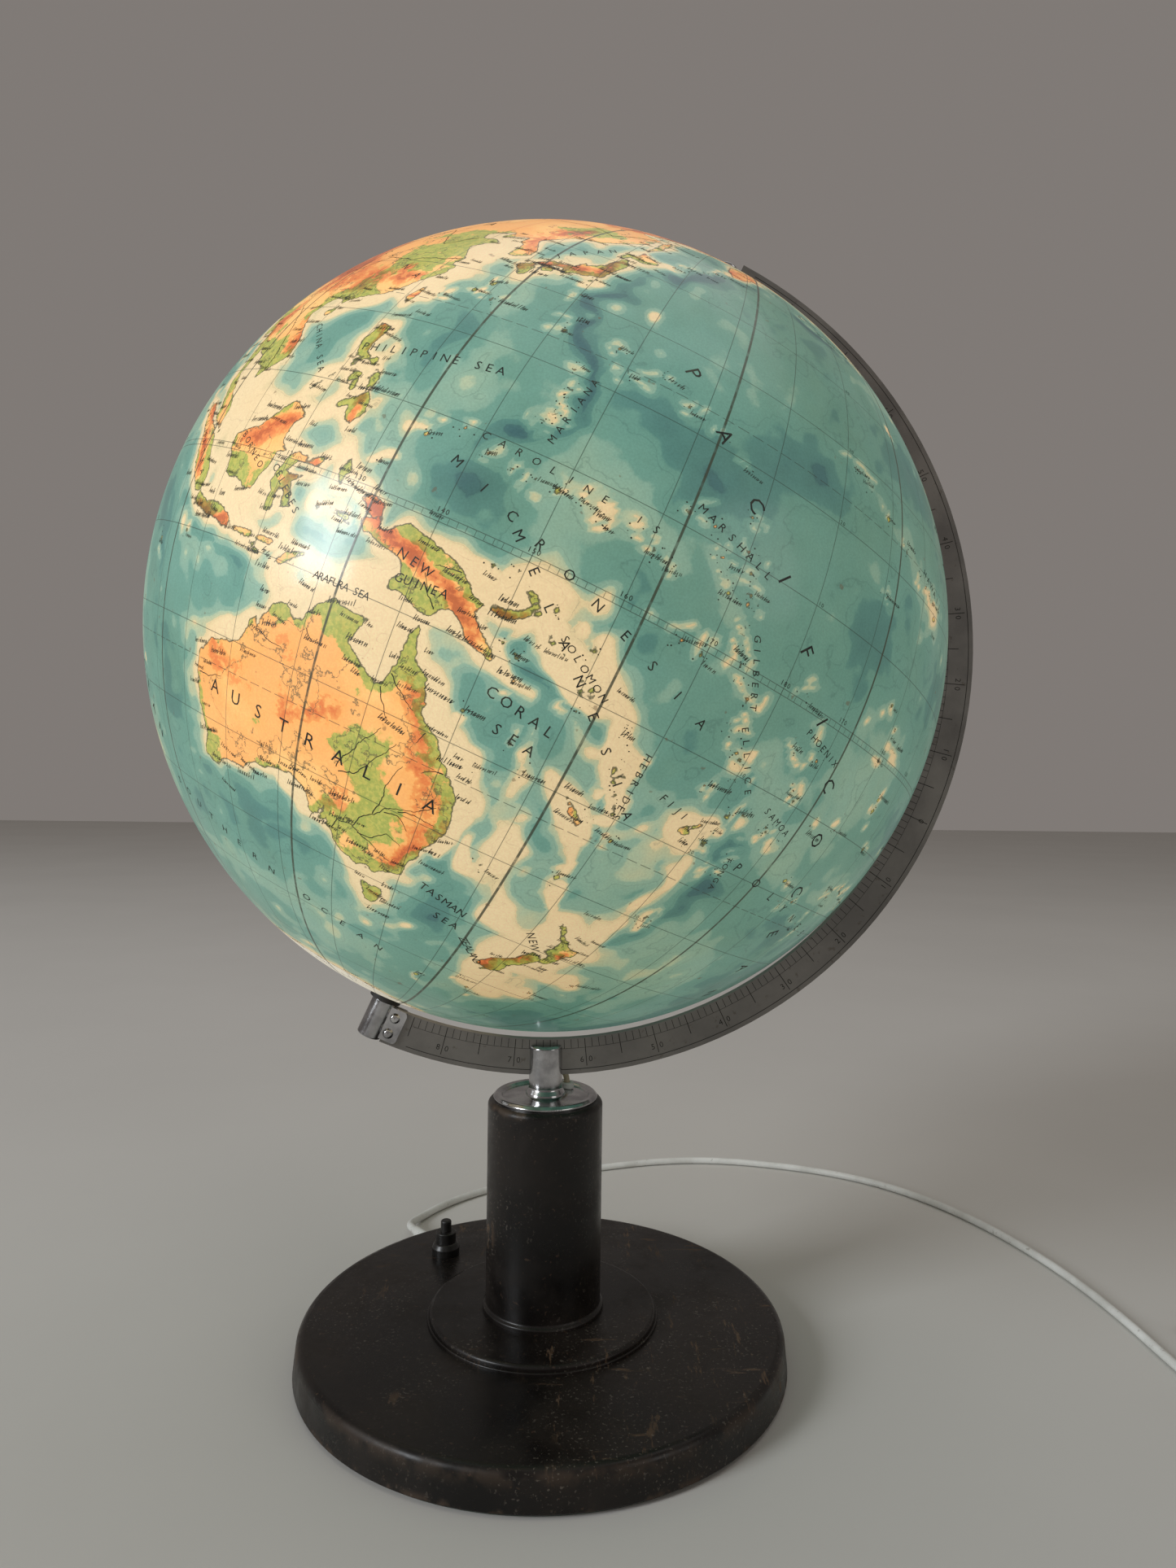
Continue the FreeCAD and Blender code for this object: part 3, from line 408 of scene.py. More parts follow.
# The coasts of the world: a name, then longitudes and latitudes in degrees.
COASTS = """
australia: 142.5 -10.7, 142.9 -11.9, 143.3 -12.8, 143.6 -14, 144.6 -14.4, 145.3 -15, 145.4 -16, 146 -17.4,
146.1 -18.4, 146.9 -19.2, 147.8 -19.8, 148.7 -20.3, 149.3 -21.3, 149.7 -22.4, 150.7 -22.6, 150.9 -23.5,
151.7 -24, 152.5 -25, 153.1 -25.6, 153 -26.9, 153.5 -28.2, 153.4 -29.5, 153 -30.7, 152.8 -31.8,
152.2 -32.6, 151.5 -33.3, 151.2 -34.2, 150.7 -35.1, 150.2 -36.2, 149.9 -37.4, 148.3 -37.9, 147.2 -38.3,
146.3 -39.1, 145.4 -38.4, 144.9 -37.9, 144.6 -38.3, 143.5 -38.8, 142 -38.4, 140.6 -38, 139.8 -37.2,
139.5 -36.1, 138.9 -35.6, 138.2 -35.6, 138.5 -34.9, 138.1 -34.2, 137.8 -35.1, 137 -35.2, 137.5 -34.2,
137.9 -33.2, 137.8 -32.5, 137.2 -33.6, 136 -34.9, 135.2 -34.5, 134.8 -33.3, 134.2 -32.6, 133.5 -32.1,
131.8 -31.5, 130.8 -31.6, 129 -31.7, 127.3 -32.3, 126 -32.3, 124.2 -33, 123.8 -33.9, 122 -33.9, 120 -34,
118.9 -34.5, 118 -35.1, 116.6 -35, 115.1 -34.4, 115.2 -33.5, 115.8 -32, 115.4 -31, 114.9 -29.6,
114.2 -28.2, 114 -27, 113.4 -26.2, 114.2 -26, 113.6 -25.2, 113.4 -24.4, 113.7 -23.2, 113.8 -22,
114.3 -22.4, 114.7 -21.8, 115.9 -20.8, 117.2 -20.6, 118.8 -20.3, 119.8 -19.9, 121.1 -19.5, 122 -18.2,
122.3 -17.2, 123 -16.5, 123.6 -17.4, 123.8 -16.2, 124.5 -15.5, 125.2 -14.6, 126.1 -14.1, 126.9 -13.9,
127.9 -14.8, 128.5 -15, 129.6 -14.9, 129.7 -13.9, 130.3 -13.2, 130.8 -12.4, 131.8 -12.2, 132.6 -11.4,
133.3 -11.8, 134.8 -12, 135.8 -12.1, 136.8 -12.2, 136.3 -13.3, 135.9 -14.2, 135.5 -14.9, 136.6 -15.7,
138 -16.6, 139.2 -17.3, 140 -17.7, 140.9 -17.4, 141.3 -16.3, 141.6 -14.9, 141.7 -13.7, 141.7 -12.6,
142 -11.4; tasmania: 144.7 -40.7, 146 -41.1, 147.2 -40.9, 148.3 -40.9, 148.3 -42, 147.9 -43.1,
146.9 -43.6, 146 -43.5, 145.3 -42.3, 144.8 -41.3; new_guinea: 131 -0.8, 132.4 -0.4, 134.1 -0.8, 134.2 -2,
134.5 -3.1, 135.2 -3.4, 136.3 -2.2, 137.6 -1.6, 139.2 -2.2, 141 -2.6, 142.7 -3.1, 144.5 -3.9, 145.8 -5,
145.9 -5.6, 147.6 -6, 147.1 -6.8, 148.1 -8, 149.2 -9.1, 150.1 -9.6, 150.9 -10.3, 150.2 -10.7, 148.5 -10.2,
147.1 -9.5, 146.2 -8.4, 144.8 -7.7, 143.5 -8.3, 143.2 -9.1, 141.2 -9.1, 139.3 -8.1, 138 -8.3, 137.7 -7.2,
138.7 -6.8, 138.2 -5.6, 136.6 -4.8, 135.2 -4.5, 133.9 -3.9, 132.9 -4.1, 132 -2.8, 133.6 -2.6, 133.9 -2.3,
132.3 -2.2, 131.9 -1.5; new_britain: 148.3 -5.6, 150.1 -5.4, 151.5 -4.9, 152.1 -4.1, 152.4 -4.9,
151.3 -5.9, 150 -6.4, 148.5 -6.1; new_ireland: 150.7 -2.6, 152 -3.1, 153.1 -4.6, 152.6 -4.5, 151.5 -3.3;
bougainville: 154.5 -5.4, 155.4 -6.1, 156 -6.8, 155.3 -6.9, 154.7 -6; choiseul: 156.5 -6.6, 157.6 -7.3,
157.2 -7.5; isabel: 158.6 -7.5, 159.9 -8.5, 159.5 -8.6; guadalcanal: 159.6 -9.2, 160.9 -9.8, 160.4 -10,
159.7 -9.8; malaita: 160.6 -8.3, 161.4 -9.4, 161 -9.4; makira: 161.3 -10.2, 162.4 -10.8, 161.9 -10.9;
new_caledonia: 164 -20, 165.5 -20.9, 167 -22.2, 166.5 -22.5, 165 -21.5; santo: 166.5 -14.6, 167.2 -15.1,
166.9 -15.7; malekula: 167.2 -15.9, 167.8 -16.5, 167.4 -16.5; viti_levu: 177.2 -17.6, 178.2 -17.3,
178.7 -18, 177.9 -18.4, 177.3 -18.1; vanua_levu: 178.6 -16.7, 180 -16.2, 179.6 -16.9, 178.7 -17.1;
north_island: 172.7 -34.5, 174 -35.3, 174.8 -36.6, 175.6 -36.7, 176 -37.5, 177.2 -38, 178.5 -37.7,
178 -38.9, 177 -39.3, 177 -40, 176.2 -41.2, 175.2 -41.6, 174.7 -41.2, 175.2 -40.3, 174 -39.6, 173.8 -39.2,
174.7 -38.5, 174.8 -37.4, 174.3 -36.6, 173.4 -35.3; south_island: 172.7 -40.6, 173.9 -40.9, 174.3 -41.7,
173.3 -42.8, 172.8 -43.7, 171.3 -44.3, 170.9 -45.3, 170.5 -46.1, 169.2 -46.6, 168.2 -46.5, 166.6 -46.1,
166.9 -45.2, 168.2 -44.1, 170.2 -43.1, 171.3 -42.1, 171.8 -41.5, 172.2 -40.9; stewart: 167.4 -46.8,
168.2 -46.9, 167.7 -47.3; honshu: 130.9 34, 132.2 33.9, 133.3 34.4, 135.1 34.6, 135.5 33.6, 136.5 34.2,
137.2 34.6, 138.7 34.6, 139.2 35.2, 139.8 35.1, 140.8 35.6, 140.9 37.2, 141.5 38.4, 142 39.6, 141.5 40.8,
141.3 41.4, 140.3 41.2, 140 39.8, 139.4 38.3, 138.6 37.4, 137.3 36.8, 136.8 37.4, 136 35.8, 134.5 35.6,
133 35.6, 131.4 34.6; kyushu: 129.8 33.4, 131 33.9, 132 33.2, 131.5 31.4, 130.6 31.1, 130.2 32, 129.6 33;
shikoku: 132.4 33.9, 134.4 34.3, 134.3 33.4, 133 32.8, 132.4 33.4; hokkaido: 140 41.5, 141 42.5, 143.2 42,
145.5 43.3, 144.3 44.1, 141.8 45.5, 141.6 43.5, 140.3 43.2, 139.8 42.3; sakhalin: 142 46, 143.4 49.2,
143.3 52.5, 142.7 54.3, 141.9 52, 142.1 49, 141.9 47; taiwan: 121.5 25.3, 121.6 24, 120.9 22, 120.1 23.1,
120.9 24.7; luzon: 120.6 18.5, 122.3 18.4, 122.1 16.8, 121.6 15.5, 121.9 14.1, 123.9 13.8, 124.1 12.6,
122.8 13.4, 121.2 13.6, 120.6 13.9, 120.1 15, 119.8 16.2, 120.4 16.5; mindanao: 125.4 9.8, 126.3 8.9,
126.6 7.3, 125.8 6.2, 125.4 5.5, 124.1 6.4, 123.9 7.5, 122 6.9, 122.6 8, 123.8 8.6, 124.8 8.9;
samar: 124.3 12.6, 125.5 12.2, 125.7 11.1, 125 10.1, 124.6 11.2; panay: 121.9 11.9, 123.1 11.6,
122.6 10.6, 121.9 10.4; negros: 123 11, 123.3 9.2, 122.5 9.6; cebu: 124 11.3, 123.9 10.2, 123.4 9.5;
palawan: 119.6 11.4, 119.4 10.4, 117.2 8.3, 118.4 9.8; mindoro: 120.3 13.5, 121.5 13.1, 121.2 12.1,
120.7 12.8; borneo: 109 1.5, 109.6 2, 111.2 2.4, 113 3.2, 114.6 4.7, 116.1 6.2, 116.8 7, 117.7 6.2,
119.3 5.2, 118 4.2, 117.9 2.2, 119 1, 117.6 0.5, 117.5 -0.9, 116.5 -2.3, 116.2 -4, 114.6 -4.1, 113 -3.2,
111.8 -3.5, 110.2 -2.9, 110 -1.3, 109.1 -0.3, 109 0.8; sulawesi: 119.8 0.3, 120.8 1.4, 123 1, 125 1.7,
124.4 0.3, 121.5 0.3, 120.2 -0.9, 121.1 -1.4, 123.4 -0.8, 121.8 -1.9, 122.3 -3.2, 123 -4.5, 121.6 -4.8,
121.2 -2.9, 120.3 -3, 120.4 -5.6, 119.4 -5.6, 119.5 -3.5, 118.8 -2.7, 119.3 -1.2; halmahera: 127.4 0.8,
127.9 2.2, 128.7 1.2, 127.9 0.3, 128.4 -0.8, 127.7 -0.2; seram: 127.9 -3.1, 130.4 -2.9, 130.9 -3.8,
129 -3.5; buru: 126 -3.2, 127.2 -3.2, 126.7 -3.9; timor: 123.4 -10.4, 124.9 -8.9, 127.3 -8.3, 126 -9.2,
124.5 -10.3; flores: 119.8 -8.3, 122.9 -8.1, 122.4 -8.9, 119.9 -8.9; sumbawa: 115.2 -8.1, 119.1 -8.2,
118.8 -8.9, 115.6 -8.8; sumba: 119 -9.4, 120.8 -10, 120.3 -10.3; java: 105.2 -6.8, 106.1 -5.9, 108.4 -6.6,
110.7 -6.4, 112.7 -6.9, 114.4 -7.8, 114.5 -8.7, 111 -8.3, 108 -7.8, 106.4 -7.4; sumatra: 95.3 5.6,
97.5 5.2, 99.9 3, 101.8 2, 103.6 0.6, 104.4 -1, 106 -3, 105.8 -5.8, 104.5 -5.8, 102.3 -4, 100.4 -1,
98.7 1.6, 97 3.4; hainan: 108.6 19.3, 110.6 20.1, 110.4 18.6, 109.2 18.2; ceylon: 79.9 8, 80.2 9.7,
81.8 7.4, 81.2 6.2, 80 6.1; eurasia: 190 66.2, 187 64.5, 180 65, 177.5 64.6, 179.5 62.5, 174 61.8,
170.3 60, 166 60.2, 163.5 59.7, 162 58, 163.2 56.2, 161.8 55, 160 53.2, 158.3 52, 156.7 51, 155.7 54,
155.7 57, 158.5 59.5, 161.5 61, 163.5 62.5, 160 61.6, 156 61.4, 154.5 59.5, 150 59.6, 145 59.4,
141.5 58.4, 137.5 55.5, 135.3 54.8, 138 53.8, 141.2 53.2, 140.6 51.3, 140.4 48.8, 138 46.3, 135.2 43.8,
132.2 43.2, 130.6 42.3, 129.6 41.2, 127.6 39.7, 127.5 39.3, 129.3 37, 129.4 35.5, 127.5 34.5, 126.4 34.6,
126.6 36.6, 126.3 37.6, 125 38.1, 125.2 39.5, 122.5 39.3, 121.2 38.8, 122 40.6, 120.8 40.4, 118 39.1,
118.9 37.6, 120.8 37.8, 122.6 37.2, 120.6 36.1, 119.3 34.9, 120.6 33.2, 121.8 31.8, 121 30.3, 122 29.8,
121.4 28.2, 119.7 26.4, 118.2 24.5, 116.6 23, 114.2 22.4, 111.5 21.6, 110.4 20.4, 109.8 21.4, 108.2 21.6,
106.7 20.4, 105.8 18.8, 107.4 16.4, 109 14.5, 109.3 12, 107.2 10.4, 105 8.6, 104.9 10.2, 103.2 10.8,
102.2 12.2, 100.9 12.8, 100.4 13.5, 99.9 11.6, 99.3 9.4, 100.4 8.3, 101.3 6.9, 103.4 4.6, 103.5 2.5,
104.2 1.3, 103 1.9, 101 3.2, 100.3 5.4, 99.1 7.4, 98.3 8.4, 98.6 11.2, 98 14, 97.3 16.8, 95.3 15.8,
94.3 16.8, 94.2 18.8, 92.3 20.8, 91.6 22.6, 89 21.8, 87 21.2, 86.3 20, 83.9 18.2, 82 16.6, 80.2 15.6,
80.2 13.2, 79.8 10.4, 78.1 8.6, 77.4 8.1, 76.2 10.2, 74.8 13, 73.4 16.4, 72.8 19.6, 72.6 21.6, 70.3 20.9,
69 22.3, 67.4 24, 66.4 25.4, 61.6 25.1, 57.2 26.6, 54.5 26.6, 51.4 27.8, 50 30.2, 48 30, 48.6 28.4,
50.2 26.5, 51.2 24.6, 52 24, 54.4 24.6, 56.4 26.3, 56.8 24.2, 59.8 22.5, 57.8 19.4, 55 17.2, 52 15.6,
48.6 14, 45 12.8, 43.4 12.7, 42.6 16.4, 39.2 21, 37 25, 35 28.1, 32.6 30, 34.3 31.2, 35 33, 36 36,
34 36.2, 30.6 36.7, 27.6 36.8, 26.6 39, 29 40.9, 31.5 41.3, 35 42, 38.5 41, 41.5 41.6, 39 43.8, 37 45.2,
39.2 47.2, 35 46.3, 33.8 44.5, 31 46.6, 28.8 44.6, 27.8 42.6, 28.8 41.4, 26 40.8, 23.8 40.2, 24 38.2,
22.8 36.6, 21.4 37.2, 19.4 40.8, 19.4 41.8, 15.6 43.6, 13.6 45.4, 12.4 44.4, 14.2 42.5, 16 41.6,
18.4 40.2, 16.8 39.8, 16 38, 15.7 40, 12.4 41.7, 10.3 43.2, 8.6 44.3, 6.4 43.1, 3.2 43.2, 3.2 41.9,
0.2 40.2, 0 38.6, -2 36.8, -5.4 36, -6.6 37, -8.9 37, -9.4 38.8, -8.8 41.5, -9.2 43.2, -3.8 43.4,
-1.5 43.6, -1.2 46, -4.6 48, -4.6 48.6, -1.6 48.7, -1.8 49.7, 1.6 50.8, 4 51.8, 6.8 53.5, 8.6 53.9,
8.1 56.6, 10.5 57.6, 10.4 55.6, 10.9 54.1, 14.2 53.9, 18.6 54.6, 21 55.2, 21.2 57.2, 24.2 57.2, 23.4 59.2,
28 59.6, 30 60, 26 60.4, 22.6 60, 21.4 62.4, 25 65, 22.2 65.7, 21.4 64.4, 17.6 62.4, 17.2 60.7, 18.8 59.8,
16.6 58, 14.4 55.5, 12.9 55.5, 11.2 58.9, 8.2 58.1, 5.4 59, 5 61.8, 10 63.8, 13.2 66.6, 17.5 69,
22.5 70.6, 28 71.1, 31 70.3, 37 69, 41.2 67.2, 38 66.2, 33 66.7, 35 64.3, 38 64, 40 65.4, 44 66.4,
44 68.4, 53 68.6, 60 69.6, 66.8 69.2, 67 71.5, 72.6 72.8, 73 70, 75 72.4, 80.5 73.4, 87 75, 98 76.4,
104.2 77.7, 113 74, 125 73.2, 130 71.4, 140 72.6, 150 71.6, 160 69.8, 170 69.2, 178 69.2, 183.5 67.5;
caspian: 47.5 45.5, 51.5 46.8, 53 45, 51 44, 53.5 40.5, 53.8 37, 50.5 37.4, 49.5 40.5, 47.6 43;
aral: 58.5 44, 61 46.5, 59.5 46; baikal: 104 51.6, 109.5 55.6, 108 53.2; africa: -5.9 35.8, -2 35.1,
3 36.9, 10 37.3, 11 34.5, 10.2 34, 15.2 32.3, 19 30.4, 20.2 32.4, 23 32.6, 29 31, 32.2 31.2, 32.6 29.8,
35.5 24, 37.2 21, 37.4 18.6, 39.5 15.5, 43.2 12.4, 44 10.5, 51.2 11.8, 50 8, 46 2.6, 41 -2, 39.2 -5,
39.4 -8, 40.6 -11, 40.6 -15, 36.9 -18, 34.8 -20, 35.5 -23.8, 32.8 -26, 32.5 -28.5, 29 -32.6, 25.8 -34,
20 -34.8, 18.4 -34.2, 18.2 -32, 15.2 -27, 14.2 -22.4, 11.8 -17, 13.6 -12.2, 12.2 -6, 8.8 -0.8, 9.6 3.8,
6.2 4.3, 4.4 6.3, 1 6, -4 5.2, -7.6 4.4, -11.2 6.8, -13.4 9.4, -16.6 12.4, -17.4 14.8, -16.2 19, -17 21,
-16 23.8, -13 27.8, -9.8 29.8, -9.4 32.4, -6.8 34.2; victoria: 31.8 -0.4, 33.9 0.3, 34 -1.6, 32.2 -2.6;
madagascar: 49.3 -12.1, 50.4 -15.8, 49.4 -18, 47.2 -25, 45 -25.5, 43.4 -22.5, 44.4 -19.8, 44.2 -16.4,
47 -15.2, 48.4 -13.4; britain: -5.6 50.1, -3.4 50.4, 1.4 51.2, 0.9 52, 1.7 52.7, 0.2 53.2, -1.2 54.6,
-2 55.8, -2 57.6, -4 57.8, -3.2 58.6, -5 58.6, -5.8 57, -5.6 55.4, -4.6 54.7, -3 54.2, -3.2 53.4,
-4.6 53.2, -4.2 52.4, -5.2 51.8, -3 51.4; ireland: -6.2 53.4, -6.4 52.2, -10 51.6, -9.8 53.4, -8.4 54.4,
-7.4 55.3, -5.6 54.6; iceland: -22.5 64, -18 63.5, -14 64.8, -15.5 66.2, -20 66, -23.6 66.2, -23.8 64.8;
zemlya: 52 71.2, 57 70.8, 60 75, 68.6 76.8, 60 76.2, 53.6 73.2; svalbard: 11 79.2, 16 76.8, 24 78,
26 80.1, 16 80; sicily: 12.5 38, 15.6 38.2, 15.1 36.8; sardinia: 8.3 41, 9.7 41, 9.5 39.2, 8.5 39;
crete: 23.6 35.6, 26.3 35.2, 24.5 34.9; cyprus: 32.4 35, 34.5 35.6, 33.6 34.7; north_america: -168 65.6,
-162 66.4, -163.5 68.4, -156.5 71.2, -148 70.4, -141 69.7, -134 69.6, -128 70.4, -121 69.8, -114 68.2,
-108 68.2, -101 67.8, -94 69.2, -94.5 71.8, -89 69.2, -82 69, -82 66.6, -87 64.4, -93 62.4, -94.6 59.2,
-92.4 57, -87.5 56.2, -82.3 55.2, -82.2 53, -79.6 51.3, -79 53.8, -77 56.2, -78 59.6, -77.8 62.4,
-72 61.4, -69.6 59.4, -65.6 59.8, -64.4 60.3, -62 57.6, -59.2 55.2, -56 52.8, -58 51.3, -65 50.2,
-66.4 49.4, -64.4 48.6, -65 47.2, -64 46.2, -61.5 45.8, -63.6 44.6, -66 43.6, -66.6 45, -70 43.8,
-70.2 42, -73.8 40.6, -74.2 39.4, -75.8 37.2, -75.8 35.4, -78 33.9, -81 31.8, -81.3 29.6, -80.1 26.4,
-80.8 25.2, -82 27, -83.6 29.8, -86 30.4, -89.4 30.2, -90.2 29.2, -94.4 29.6, -97.2 27.8, -97.6 24,
-97.4 21.2, -96 19.2, -94.4 18.2, -92 18.6, -90.6 19.8, -90.2 21.2, -87 21.5, -87.6 19, -88.6 16.2,
-86 15.9, -83.4 15.2, -83.6 11.4, -81.6 9, -79.6 9.6, -77.3 8.8, -77.8 7.9, -80.2 8.2, -80.4 7.4,
-82.8 8.2, -83.8 9.2, -85.8 10.4, -87.6 12.8, -91.4 13.9, -94.4 16.1, -97.8 16, -101.6 17.6, -105.4 19.8,
-105.6 22, -108.4 25.4, -111 28, -112.8 30.8, -114.7 31.7, -114.4 30, -112 27, -109.6 23.2, -112.2 25.6,
-114.8 27.8, -116.2 30.8, -117.3 33, -120.6 34.6, -122.4 37.2, -124.2 40.4, -124.2 43.6, -124 46.4,
-124.6 48.3, -122.6 48.4, -124.8 50.2, -128 51.6, -130.2 54.4, -133.8 58, -139.6 59.8, -144.4 60.2,
-148.4 60.2, -151.8 59.4, -150.8 61.2, -154 59.2, -158.4 56.8, -163.6 55, -160 58.4, -162 59, -165.4 61,
-164.6 63.2, -161 64.4, -166 64.6; superior: -92 46.8, -88 48.8, -84.6 46.6, -88 46.9; michigan: -87.8 42,
-86.2 42.4, -85 45.8, -87.5 45; huron: -84.5 46, -80 45, -82.4 43.2; erie: -83.2 41.6, -79 42.8,
-81.5 41.7; great_bear: -124 66, -119 66.6, -122 65; winnipeg: -99 53.6, -96.6 50.6, -97.8 52;
vancouver: -128.3 50.8, -125.4 50.3, -123.5 48.4, -125.5 48.8; baffin: -61.4 66.6, -64 63.4, -68 62.4,
-72 64.6, -77.6 64.6, -73 67.6, -79 70.2, -88 71.2, -89.6 73.6, -80.6 73.6, -76 72.6, -68.6 70.2;
victoria_is: -105 69.2, -116.8 69.4, -118 71.6, -114 73.2, -106 73.4, -104.8 71.2; banks: -125 71.8,
-121 71.4, -118 74, -124 74.2; devon: -80 74.6, -92 74.8, -92 76.6, -80 75.8; ellesmere: -76 78.6,
-88 76.6, -92 80.4, -70 83.1, -62 82.4, -68 80.6; melville: -106 75, -116 75, -112 76.6;
greenland: -73 78.2, -58 75.8, -54.6 71.4, -53.6 67.6, -51.4 63.6, -43.6 59.9, -40.2 65, -32 68,
-22.4 70.4, -20 74.6, -18.6 77.4, -12 81.4, -32 83.5, -58 82, -66 80.6; newfoundland: -59.2 47.8,
-56 51.5, -53.4 48.4, -53.2 46.8, -55.8 47; cuba: -84.8 22, -82.4 23.1, -77 21, -74.3 20.2, -77.6 19.9,
-78.4 21, -82 22.4; hispaniola: -74.4 18.5, -72.8 19.9, -69.9 19.6, -68.4 18.6, -71.4 17.8;
jamaica: -78.3 18.4, -76.3 18.1, -77.2 17.8; puerto_rico: -67.2 18.5, -65.6 18.4, -66.8 17.9;
hawaii: 203.9 20.2, 205.2 19.5, 204.2 18.9; south_america: -77.3 8.8, -75.6 10.8, -71.8 12.3, -71.4 10.8,
-68 10.8, -62 10.7, -59.8 8.2, -56 5.9, -51.6 4.4, -50 1.2, -48.4 -1.2, -44 -2.6, -39.8 -2.9, -35.3 -5.2,
-34.8 -8, -37.2 -11.2, -39 -13.4, -39.2 -17.8, -41 -22, -44.6 -23.2, -48.4 -25.8, -48.8 -28.6,
-52.2 -32.4, -53.8 -34.4, -57 -34.6, -58.4 -34, -57.2 -36.2, -57.8 -38.2, -62.2 -39, -62.4 -40.9, -65 -41,
-64.2 -42.4, -67.4 -45.8, -65.8 -47.6, -69 -51, -68.4 -52.4, -65.4 -54.8, -69 -55.4, -74 -52.4, -75.4 -48,
-74 -44.6, -73.8 -40.4, -73.4 -37.2, -71.6 -33, -71.4 -29, -70.2 -23.6, -70.4 -18.4, -76.2 -13.8,
-79.4 -8, -81.3 -4.6, -80.4 -2.8, -80.9 -1, -78.8 1.4, -77.2 4, -77.9 7.2; falklands: -61 -51.4,
-57.8 -51.6, -59.5 -52.2; antarctica: -180 -78, -165 -78, -150 -77, -140 -75, -125 -74, -110 -74.5,
-100 -73, -85 -73.5, -75 -73, -67 -68, -62 -64, -57 -63.3, -60 -66.5, -62 -71, -62 -75, -50 -77.5,
-35 -77.5, -25 -75, -10 -71, 10 -70, 30 -69.5, 45 -67.5, 60 -67.3, 70 -69, 80 -68, 95 -66.5, 110 -66,
130 -66, 145 -67, 160 -70, 170 -72, 165 -77.5, 180 -78, 180 -91, -180 -91"""


# ---------------------------------------------------------------- printed map

def read_points(text):
    """The longitudes and latitudes of points parted by commas."""
    return [[float(v) for v in pair.split()] for pair in text.split(",")]


